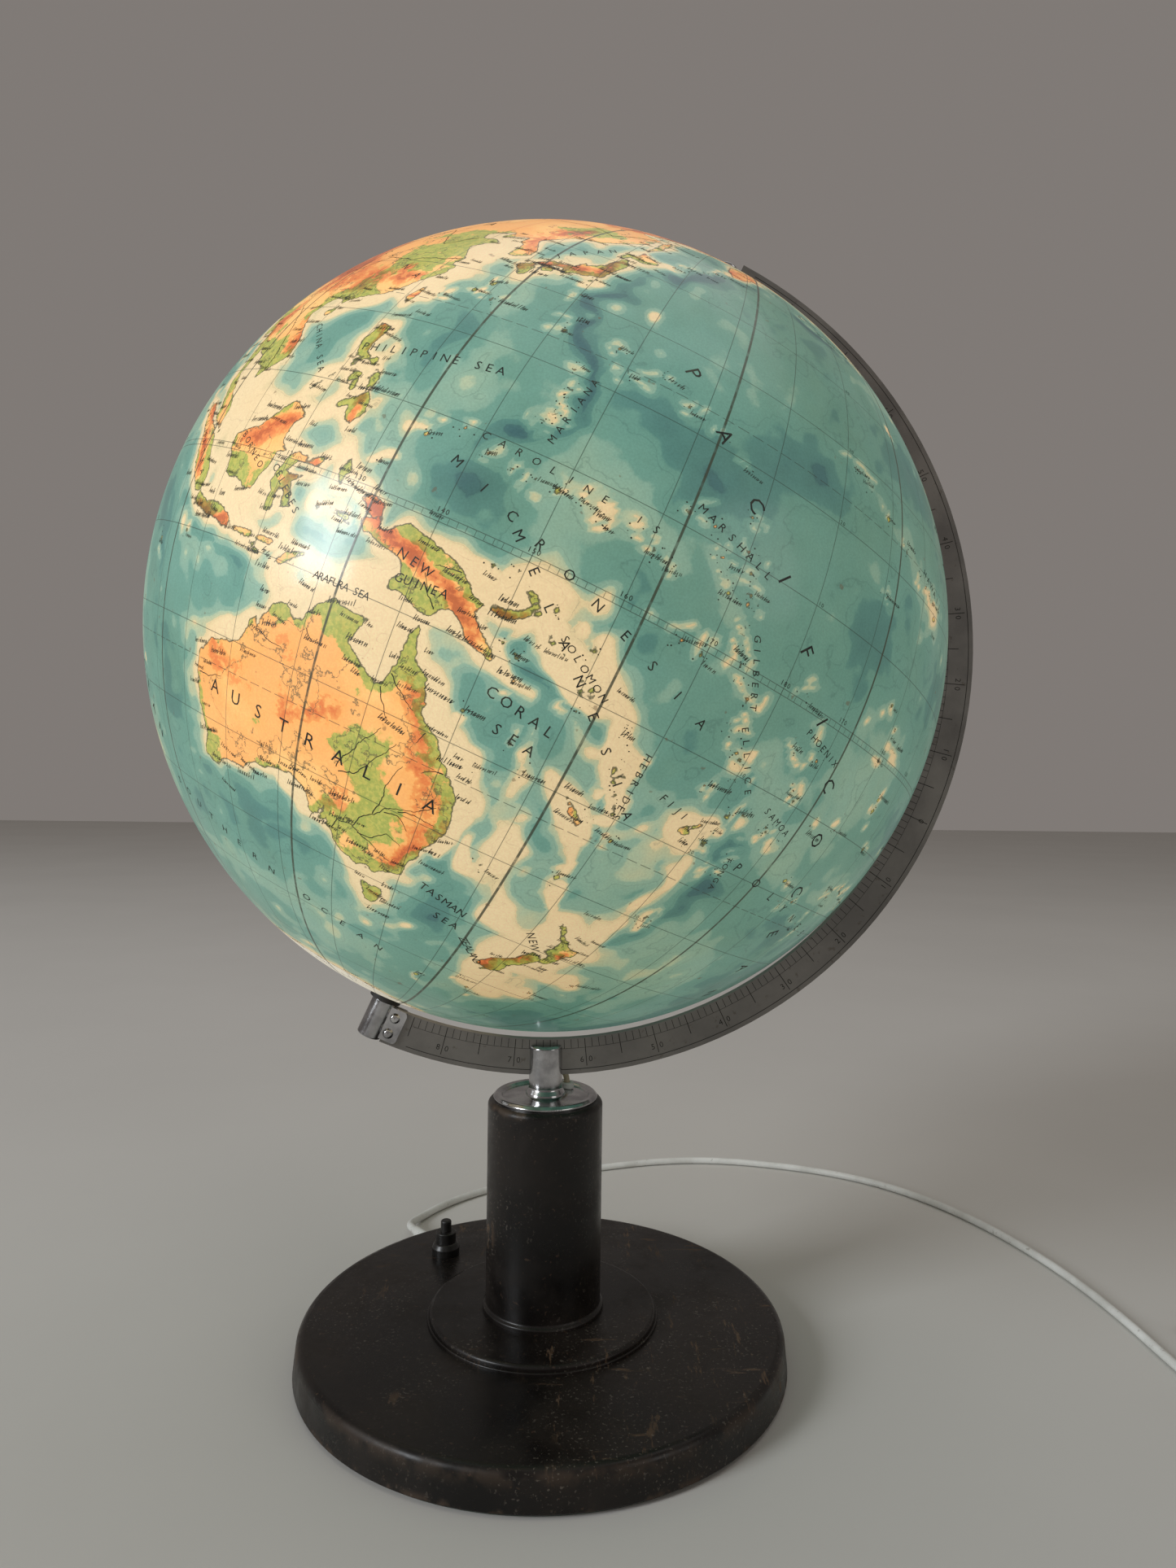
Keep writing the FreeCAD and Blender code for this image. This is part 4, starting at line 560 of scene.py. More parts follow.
# Ridges as height, half width in degrees, and the points they run through.
RIDGES = """
0.44 1.6: 145 -16, 146 -19.5, 148 -23, 150.5 -26, 151.7 -29, 151 -32; 0.62 1.2: 150 -33.6, 149 -35.6,
147.6 -36.8; 0.3 2.2: 117 -22.5, 119 -23, 121 -24; 0.34 1.6: 130 -24, 133.5 -24, 136 -23;
0.3 1.4: 138.3 -31, 138.6 -33; 0.26 2: 126 -17, 128 -17.5; 0.3 0.8: 146 -42, 147 -42.5; 0.72 1: 133 -2.5,
136 -3.8, 139 -4.2, 142 -5, 144.5 -6, 147 -7.6, 149 -9.6; 0.7 0.5: 149.5 -5.6, 151.5 -5.2;
0.7 0.4: 155 -6, 155.6 -6.6; 0.55 0.4: 164.5 -20.6, 166.6 -22; 0.9 0.7: 167.5 -45.3, 169.5 -44,
171.5 -42.8, 173 -41.8; 0.55 0.7: 175.7 -39.2, 177 -38.2; 0.8 1: 132 34, 135 35, 137.8 36, 139.5 37.5,
141 39.8; 0.5 0.8: 131 32.5, 130.8 33; 0.6 1: 142.5 43.5; 0.6 0.9: 121 18, 121 16, 121.4 14.5;
0.6 0.8: 125 8, 125.2 6.6; 0.7 0.5: 121 23.6; 0.7 1.3: 117 5.5, 115.3 3, 113.5 1.2, 111.5 0.8;
0.65 0.9: 120 -2.5, 121 -1, 123 0.6; 0.7 0.7: 107 -7, 110 -7.4, 113.5 -8; 0.75 0.9: 96.5 4.6, 98.8 2.4,
100.4 -0.6, 102.4 -3.4; 1.2 3.4: 74 35, 79 32, 84 30, 90 30, 96 31, 100 30; 1 3: 76 36.5, 84 35.6, 92 35,
99 35; 0.9 2: 70 38, 76 41, 82 42.5, 88 43.5; 0.8 2: 86 48.5, 92 49, 98 48.5, 104 50; 0.7 2.4: 112 55,
120 56, 128 57, 134 57, 140 60, 148 62; 0.6 2: 150 64, 158 66, 166 67; 0.6 1.4: 158 54, 160 56.5;
0.6 2: 100 26, 106 26, 112 26, 117 27; 0.6 1.4: 127 43, 129 46; 0.55 1.2: 128.4 37.6, 127 40.8;
0.6 1.4: 108 14, 107 17; 0.6 1.5: 98 20, 98.6 16; 0.6 1.6: 59 52, 59.5 58, 60 64; 0.9 1.6: 48 34, 52 30,
56 28.5; 0.8 1.4: 43 42.8, 47 41.8; 0.8 1.8: 32 37.4, 38 38, 44 38.5; 0.9 1: 6.5 45, 9 46.5, 13 47;
0.6 1.2: 20 43, 23.5 42, 25 45.5, 22 48.6; 0.6 0.9: -1 42.7, 1.5 42.6; 0.55 2: -4 40, -2.5 37.4;
0.5 0.8: 10.5 44.5, 13.5 42.5, 16 39.6; 0.7 1.8: 7 60, 10 62, 14 65, 18 68; 0.7 1.6: -6 32, -2 34, 4 35.5;
0.9 3: 38 14, 38 9, 36.5 6; 0.8 2: 36 0, 36 -4, 34 -9; 0.6 3: 17 -20, 16 -15; 0.7 1.8: 28.6 -29, 26 -31.6,
22 -33; 0.6 3: 24 -28, 28 -24, 30 -18; 0.5 2: 6 23.5, 17 21; 0.5 1.6: 10 6, 13 7.5; 0.6 1.3: 46.8 -18,
47 -22; 0.5 2: 42.5 15, 42 19, 40 23; 0.5 1.4: 76.6 10.5, 75 14, 74 18; 0.4 3: 78 20, 84 23;
1 2.4: -150 63, -141 61, -134 59, -128 55, -123 51, -119 47; 0.85 2.2: -116 49, -113 46, -110 43, -107 40,
-106 36, -105 33; 0.7 1.6: -121 45, -121 41, -118.5 37, -117 34; 0.7 2.4: -114 40, -112 36;
0.75 2: -106 27, -104 23, -100 19.5, -97 17.5; 0.5 1.6: -84 35.5, -80 38, -76 41, -71 44; 0.6 1.4: -91 15,
-86 13.6, -84 10; 0.55 2: -130 64, -136 66.5; 0.5 3: -70 68, -74 71; 1.1 1.7: -74 10, -76 5, -78 0,
-78 -6, -75 -12, -70 -16, -67.5 -21; 1 1.6: -68.5 -24, -69.5 -30, -70.4 -36, -71.6 -42, -73 -49;
0.5 3: -48 -16, -44 -20; 0.5 2: -64 5, -60 4.6; 0.8 6: -42 68, -40 74, -40 79; 0.8 9: 20 -84, 80 -80,
120 -76; 0.9 3: -64 -67, -66 -71; 0.8 8: 0 -78, 60 -76, 100 -72"""
# Shallow banks: how shallow, half width, points. The last group are wide rises.
BANKS = """
1.5 2.2: 146.6 -15.6, 148.6 -18, 151 -20, 152.6 -22.4, 153.8 -24.6; 1.2 0.9: 154.4 -27, 154.4 -30,
153.2 -33; 1.4 1.1: 151 -9.6, 153.4 -11.2, 155.8 -11.8; 1.5 1.5: 154.4 -4.4, 156.6 -6.8, 159.6 -8.8,
162 -10.6; 1.2 1.3: 158 -4.6, 160.4 -6, 163 -8.4, 165.6 -10.4; 1.4 2.4: 145.6 -3, 149 -3, 152.4 -2.6;
1.2 1.9: 152 -0.6, 155 -1.4, 157.6 -0.6; 1.4 1.6: 157.6 -17.8, 158.8 -20.4, 157.8 -23, 160 -25;
1.4 1.8: 161 -26.6, 161.8 -29.6, 161 -32.4, 163 -35, 164.6 -37.4, 167 -39.4; 1.1 0.9: 157.4 -29.4,
158.8 -33; 1.4 1.2: 162 -18.4, 164 -20.6, 167.4 -23; 1.3 0.8: 167.6 -24.6, 167.8 -28, 168 -31,
170.6 -33.8; 1.3 1: 166 -11, 167 -14, 168.2 -17, 169.4 -20; 1.4 1.6: 177.4 -17.2, 179.6 -18.8;
1.2 0.9: -178.8 -21, 179.8 -25.6, 178.8 -30, 177.4 -34.6; 1.5 2: 172.4 -34.8, 174 -37.4, 171 -40.6,
168 -45; 1.3 1.5: 175 -43.6, 179 -43.8, -177.4 -44; 1.4 2.8: 169 -48.8, 172.4 -51, 175.6 -49.6;
1.5 2.6: 131 -9.8, 134 -9.4, 137 -9.4, 140 -9.9; 1.5 2: 138 -11.6, 139.6 -14, 139.6 -15.6;
1.4 1.6: 124.5 -12, 127.5 -12.4; 1.3 1.5: 117 -19, 120.6 -17.6; 1.4 1.4: 144.4 -39.6, 147 -39.8;
1.3 1: 131 -32.8, 134.6 -35; 1 1.2: 141.6 -8.2, 144.6 -9; 1.5 3: 107 3, 110 5, 105.6 6.5;
1.5 2: 110.5 -4.8, 115 -5.4; 1.5 2.6: 122 35.6, 123.6 33, 122.8 29.6, 120 25.8; 1.2 1.6: 114.6 21.4,
108.6 19.6; 1.2 2: 101 9, 102.6 7.6; 1.3 4: -172 62, -166 58, -176 60; 1.3 4: 75 75, 60 73, 95 78, 130 75,
160 73; 1.3 2.4: 3 55.6, 3 58, -8 52; 1.2 1.4: 19 57, 20 59.6; 1 1.6: -52 45.6, -50 46.6;
1.1 1.6: -67.6 42.6, -62 44; 1.2 2.6: -62 -45, -64 -49, -62 -52.6; 1.1 1.8: -77 24.4, -84 25.6, -91 28.2;
1 1.2: 51 27, 53 26; 1.1 1.6: -48 1, -50 3; 0.9 1.4: -54 -34, -60 -39.6; 1.1 5: -84 58, -86 61;
1.1 2: 143 57, 148 58.6; 1 3: -10 66, -26 66; 0.8 1.4: 72.4 -6, 73 3, 72.6 8; 0.8 2: 61 -8, 58 -18;
1 2.6: 70 -49, 74 -52; 0.3 2.4: 176 -22, 174 -27; 0.42 2.6: 150 8, 158 7, 167 8, 171 4; 0.42 2.6: -178 -8,
-172 -14, -160 -20, -150 -17, -140 -20; 0.42 2: -157 20, -165 24, -176 28; 0.45 3: -112 4, -110 -12,
-113 -30, -118 -46, -140 -56; 0.45 3: -38 58, -30 48, -30 38, -44 24, -38 8, -14 -2, -14 -24, -16 -44,
-4 -54; 0.45 3: 66 20, 66 0, 70 -22, 80 -36, 100 -48, 130 -50, 150 -56; 0.45 3: 56 -30, 36 -46, 20 -53;
0.4 2: 89 8, 89 -12, 88 -30; 0.4 2.6: 134 28, 135 14; 0.35 3: 166 20, 175 18, -172 18"""
DEEPS = """
0.9 1.2: -174.6 -16, -174 -22, -176 -28, -178.6 -34; 0.9 1.2: 141.6 11.6, 147 14, 147.6 19, 143.6 26,
142.8 31, 144.4 38, 150 43.6, 157 49.6, 163 53; 0.8 1.1: 127 6, 126.8 10, 126.4 13; 0.7 1: 96 -1, 102 -7,
110 -10.4, 118 -11.4; 0.7 0.7: 151 -6.9, 154.6 -8.4, 157.4 -9.8, 161 -12.6, 165 -13; 0.6 1: 166 -14,
168.6 -20, 170.6 -22.6; 0.8 1.2: 172 51.6, -178 50.4, -166 52.4, -154 56; 0.7 1.2: -72 -20, -71.6 -28;
0.7 1: -66 19.8; 0.6 3: 150 -30, 155 -36, 155 -41; 0.5 4: 160 0, 168 -4, 172 -9; 0.5 4: 153 20, 162 16,
175 24, -170 10; 0.4 5: -160 35, -150 25, -140 40; 0.4 5: -150 -35, -130 -30, -95 -25; 0.45 4: 100 -20,
105 -30, 96 -8; 0.45 3: 115 -36, 125 -38, 137 -39; 0.4 4: -20 20, -25 -10, -8 -12, 0 -30; 0.4 4: -60 26,
-50 34, -55 20; 0.4 4: 60 10, 80 -4, 52 -34; 0.4 3: 132 20, 130 16; 0.5 2: 123 4, 121 -4.4;
0.5 2: 131 -5.6, 126 -6; 0.4 2: 114 14, 116 17; 0.5 2.6: 150 -2, 146 2, 140 4; 0.4 3: 172 -32, 176 -28"""
GREENS = """
1 2: 143 -11.8, 143.6 -14.4; 0.8 1.3: 145.6 -17.6, 148 -21.6, 151 -25.4, 153 -29, 151.4 -33.4, 150 -37;
0.8 1.6: 143.6 -38, 147 -38; 0.8 1.4: 116 -33.6, 118 -34.6; 0.8 2: 131 -13, 134 -13.4; 0.6 1.6: 126 -15.4;
0.5 2: 141 -16.8, 140 -19.6; 1 1.4: 146.6 -42; 1 2.4: 140.6 -24.6, 142.6 -28.4, 146 -31, 143.6 -34.6,
140.6 -34.8; 1 1.5: 138.6 -7.4, 142.6 -8; 0.8 0.9: 137.6 -2.2, 142.4 -3.6, 145 -4.8; 1 2: 151 -5.4;
1 1.6: 155.6 -6.6, 160 -9.6; 0.8 1.4: 175 -38.6, 171.4 -44.6, 168.6 -46.2; 1 1.8: 111.6 -2.6, 114.6 -3.2;
1 1.8: 103.4 -1.4, 105.4 -4; 1 2: 121 -3, 127 0, 129 -3; 1 2: 108 -6.4, 111 -6.8; 1 2.4: 124 8, 122.6 11,
122 16; 0.8 2: 130.8 33, 135 34.6, 139.6 36, 141 40; 0.9 3: 106 11, 101 14, 96 17, 90 24, 82 26;
0.9 3.4: 115 30, 118 33, 116 37, 110 23; 0.8 6: 60 56, 75 60, 90 60, 45 54, 30 52; 0.9 3: 0 47, 6 50,
12 53, 22 52; 0.8 3: 127 46, 132 48; 0.8 2: 76 12, 80 8, 74 20; 1 5: 10 0, 18 0, 25 -1, 14 -4;
0.9 3: -8 8, 0 7, 8 6; 0.8 2: 49 -16, 49 -19; 0.7 3: 38 -12, 32 -16; 0.9 2: 31 28, 31.6 30.6;
0.9 5: -90 34, -84 33, -78 37, -75 42; 0.8 5: -92 44, -100 56, -112 60, -122 62; 0.8 4: -76 49, -72 52;
1 7: -62 -4, -56 -5, -68 -3; 0.9 4: -56 -14, -54 -26, -60 -34; 0.8 2: -88 16, -84 12; 0.8 2: -75 2, -76 6;
0.8 2: -123 46, -124 50; 0.8 2: -80 22, -71 19; 0.8 2: -38 -12, -41 -18"""
# Small islands, each with its own bank: longitude and latitude.
ISLANDS = read_points("""
138 9.5, 141.5 8, 144.5 7.4, 147 7.4, 149.5 7.3, 151.8 7.4, 154 6.9, 155.3 5.8, 158.2 6.9, 160.7 6.2,
163 5.3, 144.8 13.5, 145.3 14.4, 145.7 15.2, 145.8 16.8, 145.8 18, 144.9 20.5, 141.3 24.8, 142.2 27,
140 31, 139.6 34, 134.5 7.5, 131.2 3, 162.3 11.5, 165.5 11.5, 167.5 9, 168.8 7.5, 169.5 6, 169.9 11,
171.2 9, 171.8 7, 172 6, 169 14.6, 166.6 19.3, 154 24.3, 148 25.4, 158 22.6, 163 21.4, 150.6 23,
172.8 3.2, 173.1 1.4, 174 0.2, 175 -1.3, 176.4 -2.6, 167 -0.5, 169.5 -0.9, 176.1 -5.7, 177.3 -6.3,
178.4 -8, 179.2 -8.5, 179.8 -10.7, 165.9 -10.7, 166.8 -11.6, 167.5 -13.8, 168.2 -15.3, 168.5 -17.7,
169.2 -18.8, 169.5 -19.6, 171 -22.4, 167.2 -20.9, 168 -29, 159 -31.5, 158.4 -19.5, 150 -16.3, 155.8 -17.4,
153.3 -21.7, 153.5 -11.5, 151 -8.6, 152.8 -9.1, 147 -2.1, 149.6 -1.5, 154.6 -3.4, 159.4 -5.4, 160.4 -11.7,
177.1 -12.5, 179 -19, -178.8 -18.2, -179.2 -16.8, -171.7 -3, -174.5 -4.6, -171 -4.5, -172.5 -8.6,
-171.2 -9.4, -172.4 -13.6, -171.7 -14, -169.6 -14.2, -175.2 -21.1, -174 -18.7, -174.3 -19.8, -176.2 -13.3,
-178.1 -14.3, -178.4 -30.6, -178 -29.3, -176.5 -44, 166 -50.7, 169 -52.5, 159 -54.6, 179 -48.5,
-159.8 -21.2, -157.9 -20, -163.1 -18, -161 -10, -165.8 -10.9, -162.1 5.9, -159.3 3.9, -157.4 1.9,
-160 -0.4, -155 -4, -154.8 -5.6, -150.2 -10, -149.5 -17.6, -151.5 -16.7, -147 -15.5, -144 -16, -141 -17.5,
-138.5 -18.5, -140 -9, -149.3 -23.4, -151.4 -22.5, -130 -25, -109.3 -27.1, -156.4 20.8, -158 21.5,
-159.5 22, -162 23, -166 23.7, -171 25.5, -175.8 27.8, -178 28.4, -169.5 16.7, -176.6 0.8, 128 26.5,
129.4 28.3, 125 24.7, 131.2 25.8, 105.6 -10.5, 96.8 -12.2, 73 4, 73 0.4, 72.6 10.5, 72 -6.5, 55.5 -4.7,
57.5 -20.3, 55.5 -21.1, 43.5 -11.8, 69.5 -49.3, 77.5 -38.5, 92.8 12.5, 93.6 8, 54 12.5, -28 38.5,
-25.5 37.8, -17 32.7, -16 28.2, -14 28.5, -24 15.5, -5.7 -16, -14.4 -8, -29.3 -20.5, -12.3 -37,
-64.8 32.3, -76 24.5, -74.5 23, -77.5 26.5, -61.5 16, -61 14, -61.7 12.1, -61.3 10.4, -36.7 -54.4,
-26.5 -58, -45.5 -60.6, -7 62, -1.3 60.3, 3 39.6, -91 -0.6, -78.8 -33.6, -111 18.8, -170 52.8, -174 52,
-178 51.8, 177 52, 173 52.8, 147.5 44.6, 149.5 45.6, 152 47, 154 49, 156 50.5, 126.5 33.4""")


def read_lines(text):
    """Each "a b: lon lat, lon lat" between semicolons, as its two numbers and its points."""
    for line in text.split(";"):
        head, body = line.split(":")
        yield [float(v) for v in head.split()], read_points(body)


def on_sphere(lon, lat):
    lon, lat = np.radians(lon), np.radians(lat)
    return np.stack([np.cos(lat) * np.cos(lon), np.cos(lat) * np.sin(lon), np.sin(lat)], -1)


def place_on_ball(lon, lat):
    """Row-frame points of that longitude and latitude on the tilted ball."""
    s = on_sphere(np.asarray(lon) + math.degrees(MAP_TURN), lat)
    axes = np.array([EAST, SIDE, POLE])
    return np.array(BALL_CENTRE) + MAP_RADIUS * s @ axes


def thicken(points, gap):
    """The points of a line with more between them, at most gap degrees apart."""
    made = []
    for (x0, y0), (x1, y1) in zip(points, points[1:]):
        x1 = x0 + (x1 - x0 + 180) % 360 - 180  # the short way round the world
        shrink = math.cos(math.radians((y0 + y1) / 2))
        n = max(1, int(math.hypot((x1 - x0) * shrink, y1 - y0) / gap))
        made += [(x0 + (x1 - x0) * i / n, y0 + (y1 - y0) * i / n) for i in range(n)]
    return made + [tuple(points[-1])]


def outlines():
    """Each coast of the world as a closed line."""
    for coast in COASTS.split(";"):
        points = read_points(coast.split(":")[1])
        yield points + points[:1]


def land_mask(lon, lat):
    """Whether each point of a grid of longitudes and latitudes is on land."""
    inside = np.zeros((len(lat), len(lon)), bool)
    for points in outlines():
        for (x0, y0), (x1, y1) in zip(points, points[1:]):
            if y0 == y1:
                continue
            rows = np.nonzero((lat >= min(y0, y1)) & (lat < max(y0, y1)))[0]
            cross = x0 + (lat[rows] - y0) * (x1 - x0) / (y1 - y0)
            for whole in (-360, 0, 360):
                inside[rows] ^= lon[None, :] + whole < cross[:, None]
    return inside


def near(sampled, grid):
    """The distance in degrees from each grid point to the nearest of some points."""
    tree = kdtree.KDTree(len(sampled))
    for i, point in enumerate(on_sphere(*np.array(sampled).T)):
        tree.insert(point, i)
    tree.balance()
    gaps = np.array([tree.find(p)[2] for p in grid])
    return np.degrees(2 * np.arcsin(np.minimum(gaps / 2, 1)))


def bumps(text, grid):
    """Smooth mounds along lines, each grid point on the highest one there."""
    highest = np.zeros(len(grid))
    for (height, width), points in read_lines(text):
        line = on_sphere(*np.array(thicken(points, width / 2)).T)
        closest = np.degrees(np.arccos(np.clip((grid @ line.T).max(1), -1, 1)))
        highest = np.maximum(highest, height * np.exp(-(closest / width) ** 2))
    return highest


def waves(grid, low, high, seed, count=40):
    """A smooth random value per grid point, from many long and short waves."""
    rng = np.random.default_rng(seed)
    total = np.zeros(len(grid))
    for _ in range(count):
        way = rng.normal(size=3)
        rate = low * (high / low) ** rng.random()
        total += np.sin(grid @ (way / np.linalg.norm(way)) * rate + rng.uniform(0, 6.28))
    return total / math.sqrt(count / 2)


def map_fields(lon, lat):
    """Per grid point: signed degrees from the coast, height, depth and greenness."""
    grid = on_sphere(*np.meshgrid(lon, lat)).reshape(-1, 3)
    land = land_mask(np.where(lon > 180, lon - 360, lon), lat).ravel()
    coast_line = [p for points in outlines() for p in thicken(points, 0.2)]
    distance = near(coast_line, grid)
    island = near(ISLANDS, grid)
    # Banks and deeps wander off the lines that they are given by.
    astray = np.stack([waves(grid, 14, 110, seed) for seed in (1, 2, 3)], -1)
    shifted = grid + 0.011 * astray
    shifted /= np.linalg.norm(shifted, axis=1, keepdims=True)
    swell, ripple = waves(grid, 5, 24, 4), waves(grid, 50, 160, 5)
    rng = np.random.default_rng(6)
    shoals = np.repeat(np.array(ISLANDS), 3, 0) + rng.normal(0, 0.75, (3 * len(ISLANDS), 2))
    bank = np.maximum(bumps(BANKS, shifted) * (0.85 + 0.3 * ripple),
                      0.95 * np.exp(-(near(shoals, shifted) / 0.62) ** 2))
    depth = 0.6 + 0.08 * swell + 0.03 * ripple
    depth -= 0.56 * np.exp(-distance * (1 + 0.3 * ripple) / 1.35) + 0.16 * np.exp(-distance / 5)
    depth += bumps(DEEPS, shifted) * 0.42 - bank * 0.52
    signed = np.maximum(np.where(land, distance, -distance), 0.2 - island)
    height = bumps(RIDGES, shifted) * (1 + 0.25 * ripple)
    green = bumps(GREENS, shifted)
    return np.stack([signed, height, np.clip(depth, -0.2, 1.2), green], -1).astype(np.float32)


def add_gores(material):
    """The map's twelve paper gores, pole to pole, pasted edge to edge on the shell."""
    across, up = 60, 354
    lon = FIRST_SEAM + np.arange(12 * across) * 0.5
    lat = np.linspace(-88.5, 88.5, up + 1)
    fields = map_fields(lon, lat).reshape(up + 1, 12 * across, 4)
    fields = np.concatenate([fields, fields[:, :1]], 1)
    lon = np.append(lon, lon[0] + 360)
    for index in range(12):
        columns = slice(index * across, (index + 1) * across + 1)
        x, y = np.meshgrid(lon[columns], lat)
        points = place_on_ball(x.ravel(), y.ravel())
        wide = across + 1
        faces = [(r * wide + c, r * wide + c + 1, (r + 1) * wide + c + 1, (r + 1) * wide + c)
                 for r in range(up) for c in range(across)]
        gore = mesh_object(f"map_gore_{index + 1:02d}", points, faces, material)
        mesh = gore.data
        flat = np.array([mesh.loops[i].vertex_index for i in range(len(mesh.loops))])
        layer = mesh.uv_layers.new(name="lonlat")
        place = np.stack([x.ravel()[flat] / 360, y.ravel()[flat] / 180 + 0.5], -1)
        layer.data.foreach_set("uv", place.astype(np.float32).ravel())
        values = mesh.color_attributes.new("fields", "FLOAT_COLOR", "POINT")
        values.data.foreach_set("color", fields[:, columns].reshape(-1))
        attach(gore, "ball")


def map_paper():
    """Printed paper under varnish: sea depths, land heights, coasts, grid lines and seams."""
    g = Graph("printed_map", Emission_Strength=0.5, Coat_Weight=0.3, Coat_Roughness=0.12)
    read = g.add("Attribute", attribute_name="fields")
    coast_deg, height, depth = g.split(read.outputs["Color"])
    green = read.outputs["Alpha"]
    broad = g.noise(26, 5, 0.55)
    middle = g.noise(120, 6, 0.62)
    fine = g.noise(620, 4, 0.6)
    coast = g.plus(coast_deg, g.plus(g.swing(middle, 1.3), g.swing(fine, 0.5)))
    land = g.step(coast, -0.03, 0.03)

    # The sea's tints meet along wavering depth lines.
    deep = g.plus(g.plus(depth, g.swing(broad, 0.16)), g.swing(middle, 0.16))
    sea = g.ramp(deep, [
        (0.0, srgb(230, 208, 166)), (0.15, srgb(216, 200, 158)), (0.17, srgb(186, 190, 156)),
        (0.3, srgb(166, 186, 160)), (0.325, srgb(138, 172, 154)), (0.47, srgb(126, 165, 150)),
        (0.5, srgb(104, 151, 139)), (0.68, srgb(97, 145, 134)), (0.71, srgb(82, 130, 124)),
        (0.85, srgb(76, 122, 118)), (0.88, srgb(66, 108, 110)), (1.0, srgb(58, 98, 104))])
    # The land's tints go from green plains over peach to red-brown heights.
    rise = g.plus(g.plus(height, g.swing(middle, 0.9)), g.swing(fine, 0.35))
    crests = g.minus(0.1, g.gap(g.noise(210, 7, 0.6), 0.5))
    rise = g.plus(rise, g.times(crests, g.step(height, 0.02, 0.3, 0.5, 3.2)))
    shoreland = g.step(coast_deg, 1.5, 0.1, 0.0, 0.42)
    plain = g.plus(g.plus(green, shoreland), g.times(rise, -0.5))
    plain = g.step(g.plus(plain, g.swing(middle, 2.8)), 0.36, 0.52)
    low = g.mix(g.step(broad, 0.42, 0.58), srgb(250, 196, 124), srgb(246, 180, 108))
    low = g.mix(plain, low, g.mix(g.step(fine, 0.4, 0.6), srgb(158, 168, 84), srgb(184, 182, 94)))
    land_tint = g.ramp(rise, [
        (0.0, srgb(255, 255, 255)), (0.27, srgb(255, 250, 240)), (0.31, srgb(246, 222, 206)),
        (0.5, srgb(240, 208, 194)), (0.54, srgb(236, 190, 176)), (0.74, srgb(228, 176, 162)),
        (0.79, srgb(212, 156, 146)), (1.0, srgb(192, 136, 130))])
    ground = g.mix(1.0, low, land_tint, "MULTIPLY")
    u, v, _ = g.split(g.add("UVMap", uv_map="lonlat").outputs[0])
    lon = g.times(u, 360)
    lat = g.swing(v, 180)
    off_equator = g.math("ABSOLUTE", lat)
    ice = g.most(g.step(g.plus(off_equator, g.times(middle, 4)), 73, 76),
                 g.step(g.plus(lat, g.times(middle, -4)), -66, -68))
    paper = g.mix(land, sea, g.mix(ice, ground, srgb(232, 228, 214)))
    shore = g.minus(1, g.step(g.math("ABSOLUTE", coast), 0.045, 0.12))
    paper = g.mix(g.times(shore, 0.8), paper, srgb(62, 66, 48))
    # Depth lines and small rivers.
    contour = g.step(g.gap(g.math("FRACT", g.times(deep, 4.0)), 0.5), 0.035, 0.0)
    contour = g.times(contour, g.minus(1, land))
    paper = g.mix(g.times(contour, 0.22), paper, srgb(40, 70, 72))
    river = g.step(g.gap(g.noise(46, 7, 0.6), 0.5), 0.0075, 0.004)
    river = g.times(river, g.times(land, g.step(height, 0.5, 0.3)))
    paper = g.mix(g.times(river, 0.7), paper, srgb(84, 82, 60))

    # Grid lines, as widths in millimetres on the ball.
    shrink = g.times(g.math("COSINE", g.math("RADIANS", lat)), MM_PER_DEGREE)

    def off_line(value, spacing, scale, shift=0.0):
        turns = g.plus(g.math("DIVIDE", g.minus(value, shift), spacing), 0.5)
        return g.times(g.gap(g.math("FRACT", turns), 0.5), g.times(scale, spacing))

    def line(distance, half_width):
        return g.step(distance, half_width + 0.08, half_width - 0.08)

    meridians = g.times(line(off_line(lon, 10, shrink), 0.13), g.step(off_equator, 80.2, 79.8))
    meridians = g.most(meridians, line(off_line(lon, 30, shrink), 0.13))
    parallels = g.times(line(off_line(lat, 10, MM_PER_DEGREE), 0.13), g.step(off_equator, 0.5, 0.7))
    paper = g.mix(g.times(g.most(meridians, parallels), 0.72), paper, srgb(40, 56, 48))
    # A ladder with a rung a degree runs along the equator, and dashes on the special circles.
    from_equator = g.times(off_equator, MM_PER_DEGREE)
    rungs = g.times(line(off_line(lon, 1, shrink), 0.1), g.step(from_equator, 1.02, 0.96))
    ladder = g.most(rungs, line(g.gap(from_equator, 1.0), 0.12))
    circles = g.math("MINIMUM", g.gap(from_equator, 23.45 * MM_PER_DEGREE),
                     g.gap(from_equator, 66.55 * MM_PER_DEGREE))
    dashes = g.step(g.math("FRACT", g.times(lon, 0.5)), 0.78, 0.72)
    strong = g.most(ladder, g.times(dashes, line(circles, 0.13)))
    paper = g.mix(g.times(strong, 0.72), paper, srgb(44, 52, 44))
    seam = g.step(off_line(lon, 30, shrink, FIRST_SEAM), 0.55, 0.28)
    frayed = g.step(g.noise(300, 3), 0.3, 0.5, 0.6, 0.9)
    paper = g.mix(g.times(seam, frayed), paper, srgb(52, 58, 44))

    # Age: yellowed varnish, soft stains, and the paper's fibres.
    stains = g.step(g.noise(13, 7, 0.65), 0.42, 0.72)
    paper = g.mix(g.times(stains, 0.2), paper, srgb(206, 176, 120), "MULTIPLY")
    grit = g.step(g.noise(1500, 2), 0.3, 0.7, 0.93, 1.04)
    paper = g.add("VectorMath", {0: paper, "Scale": grit}, operation="SCALE").outputs[0]
    spots = g.times(g.step(g.noise(210, 2), 0.72, 0.76), 0.5)
    paper = g.mix(spots, paper, srgb(96, 74, 50))
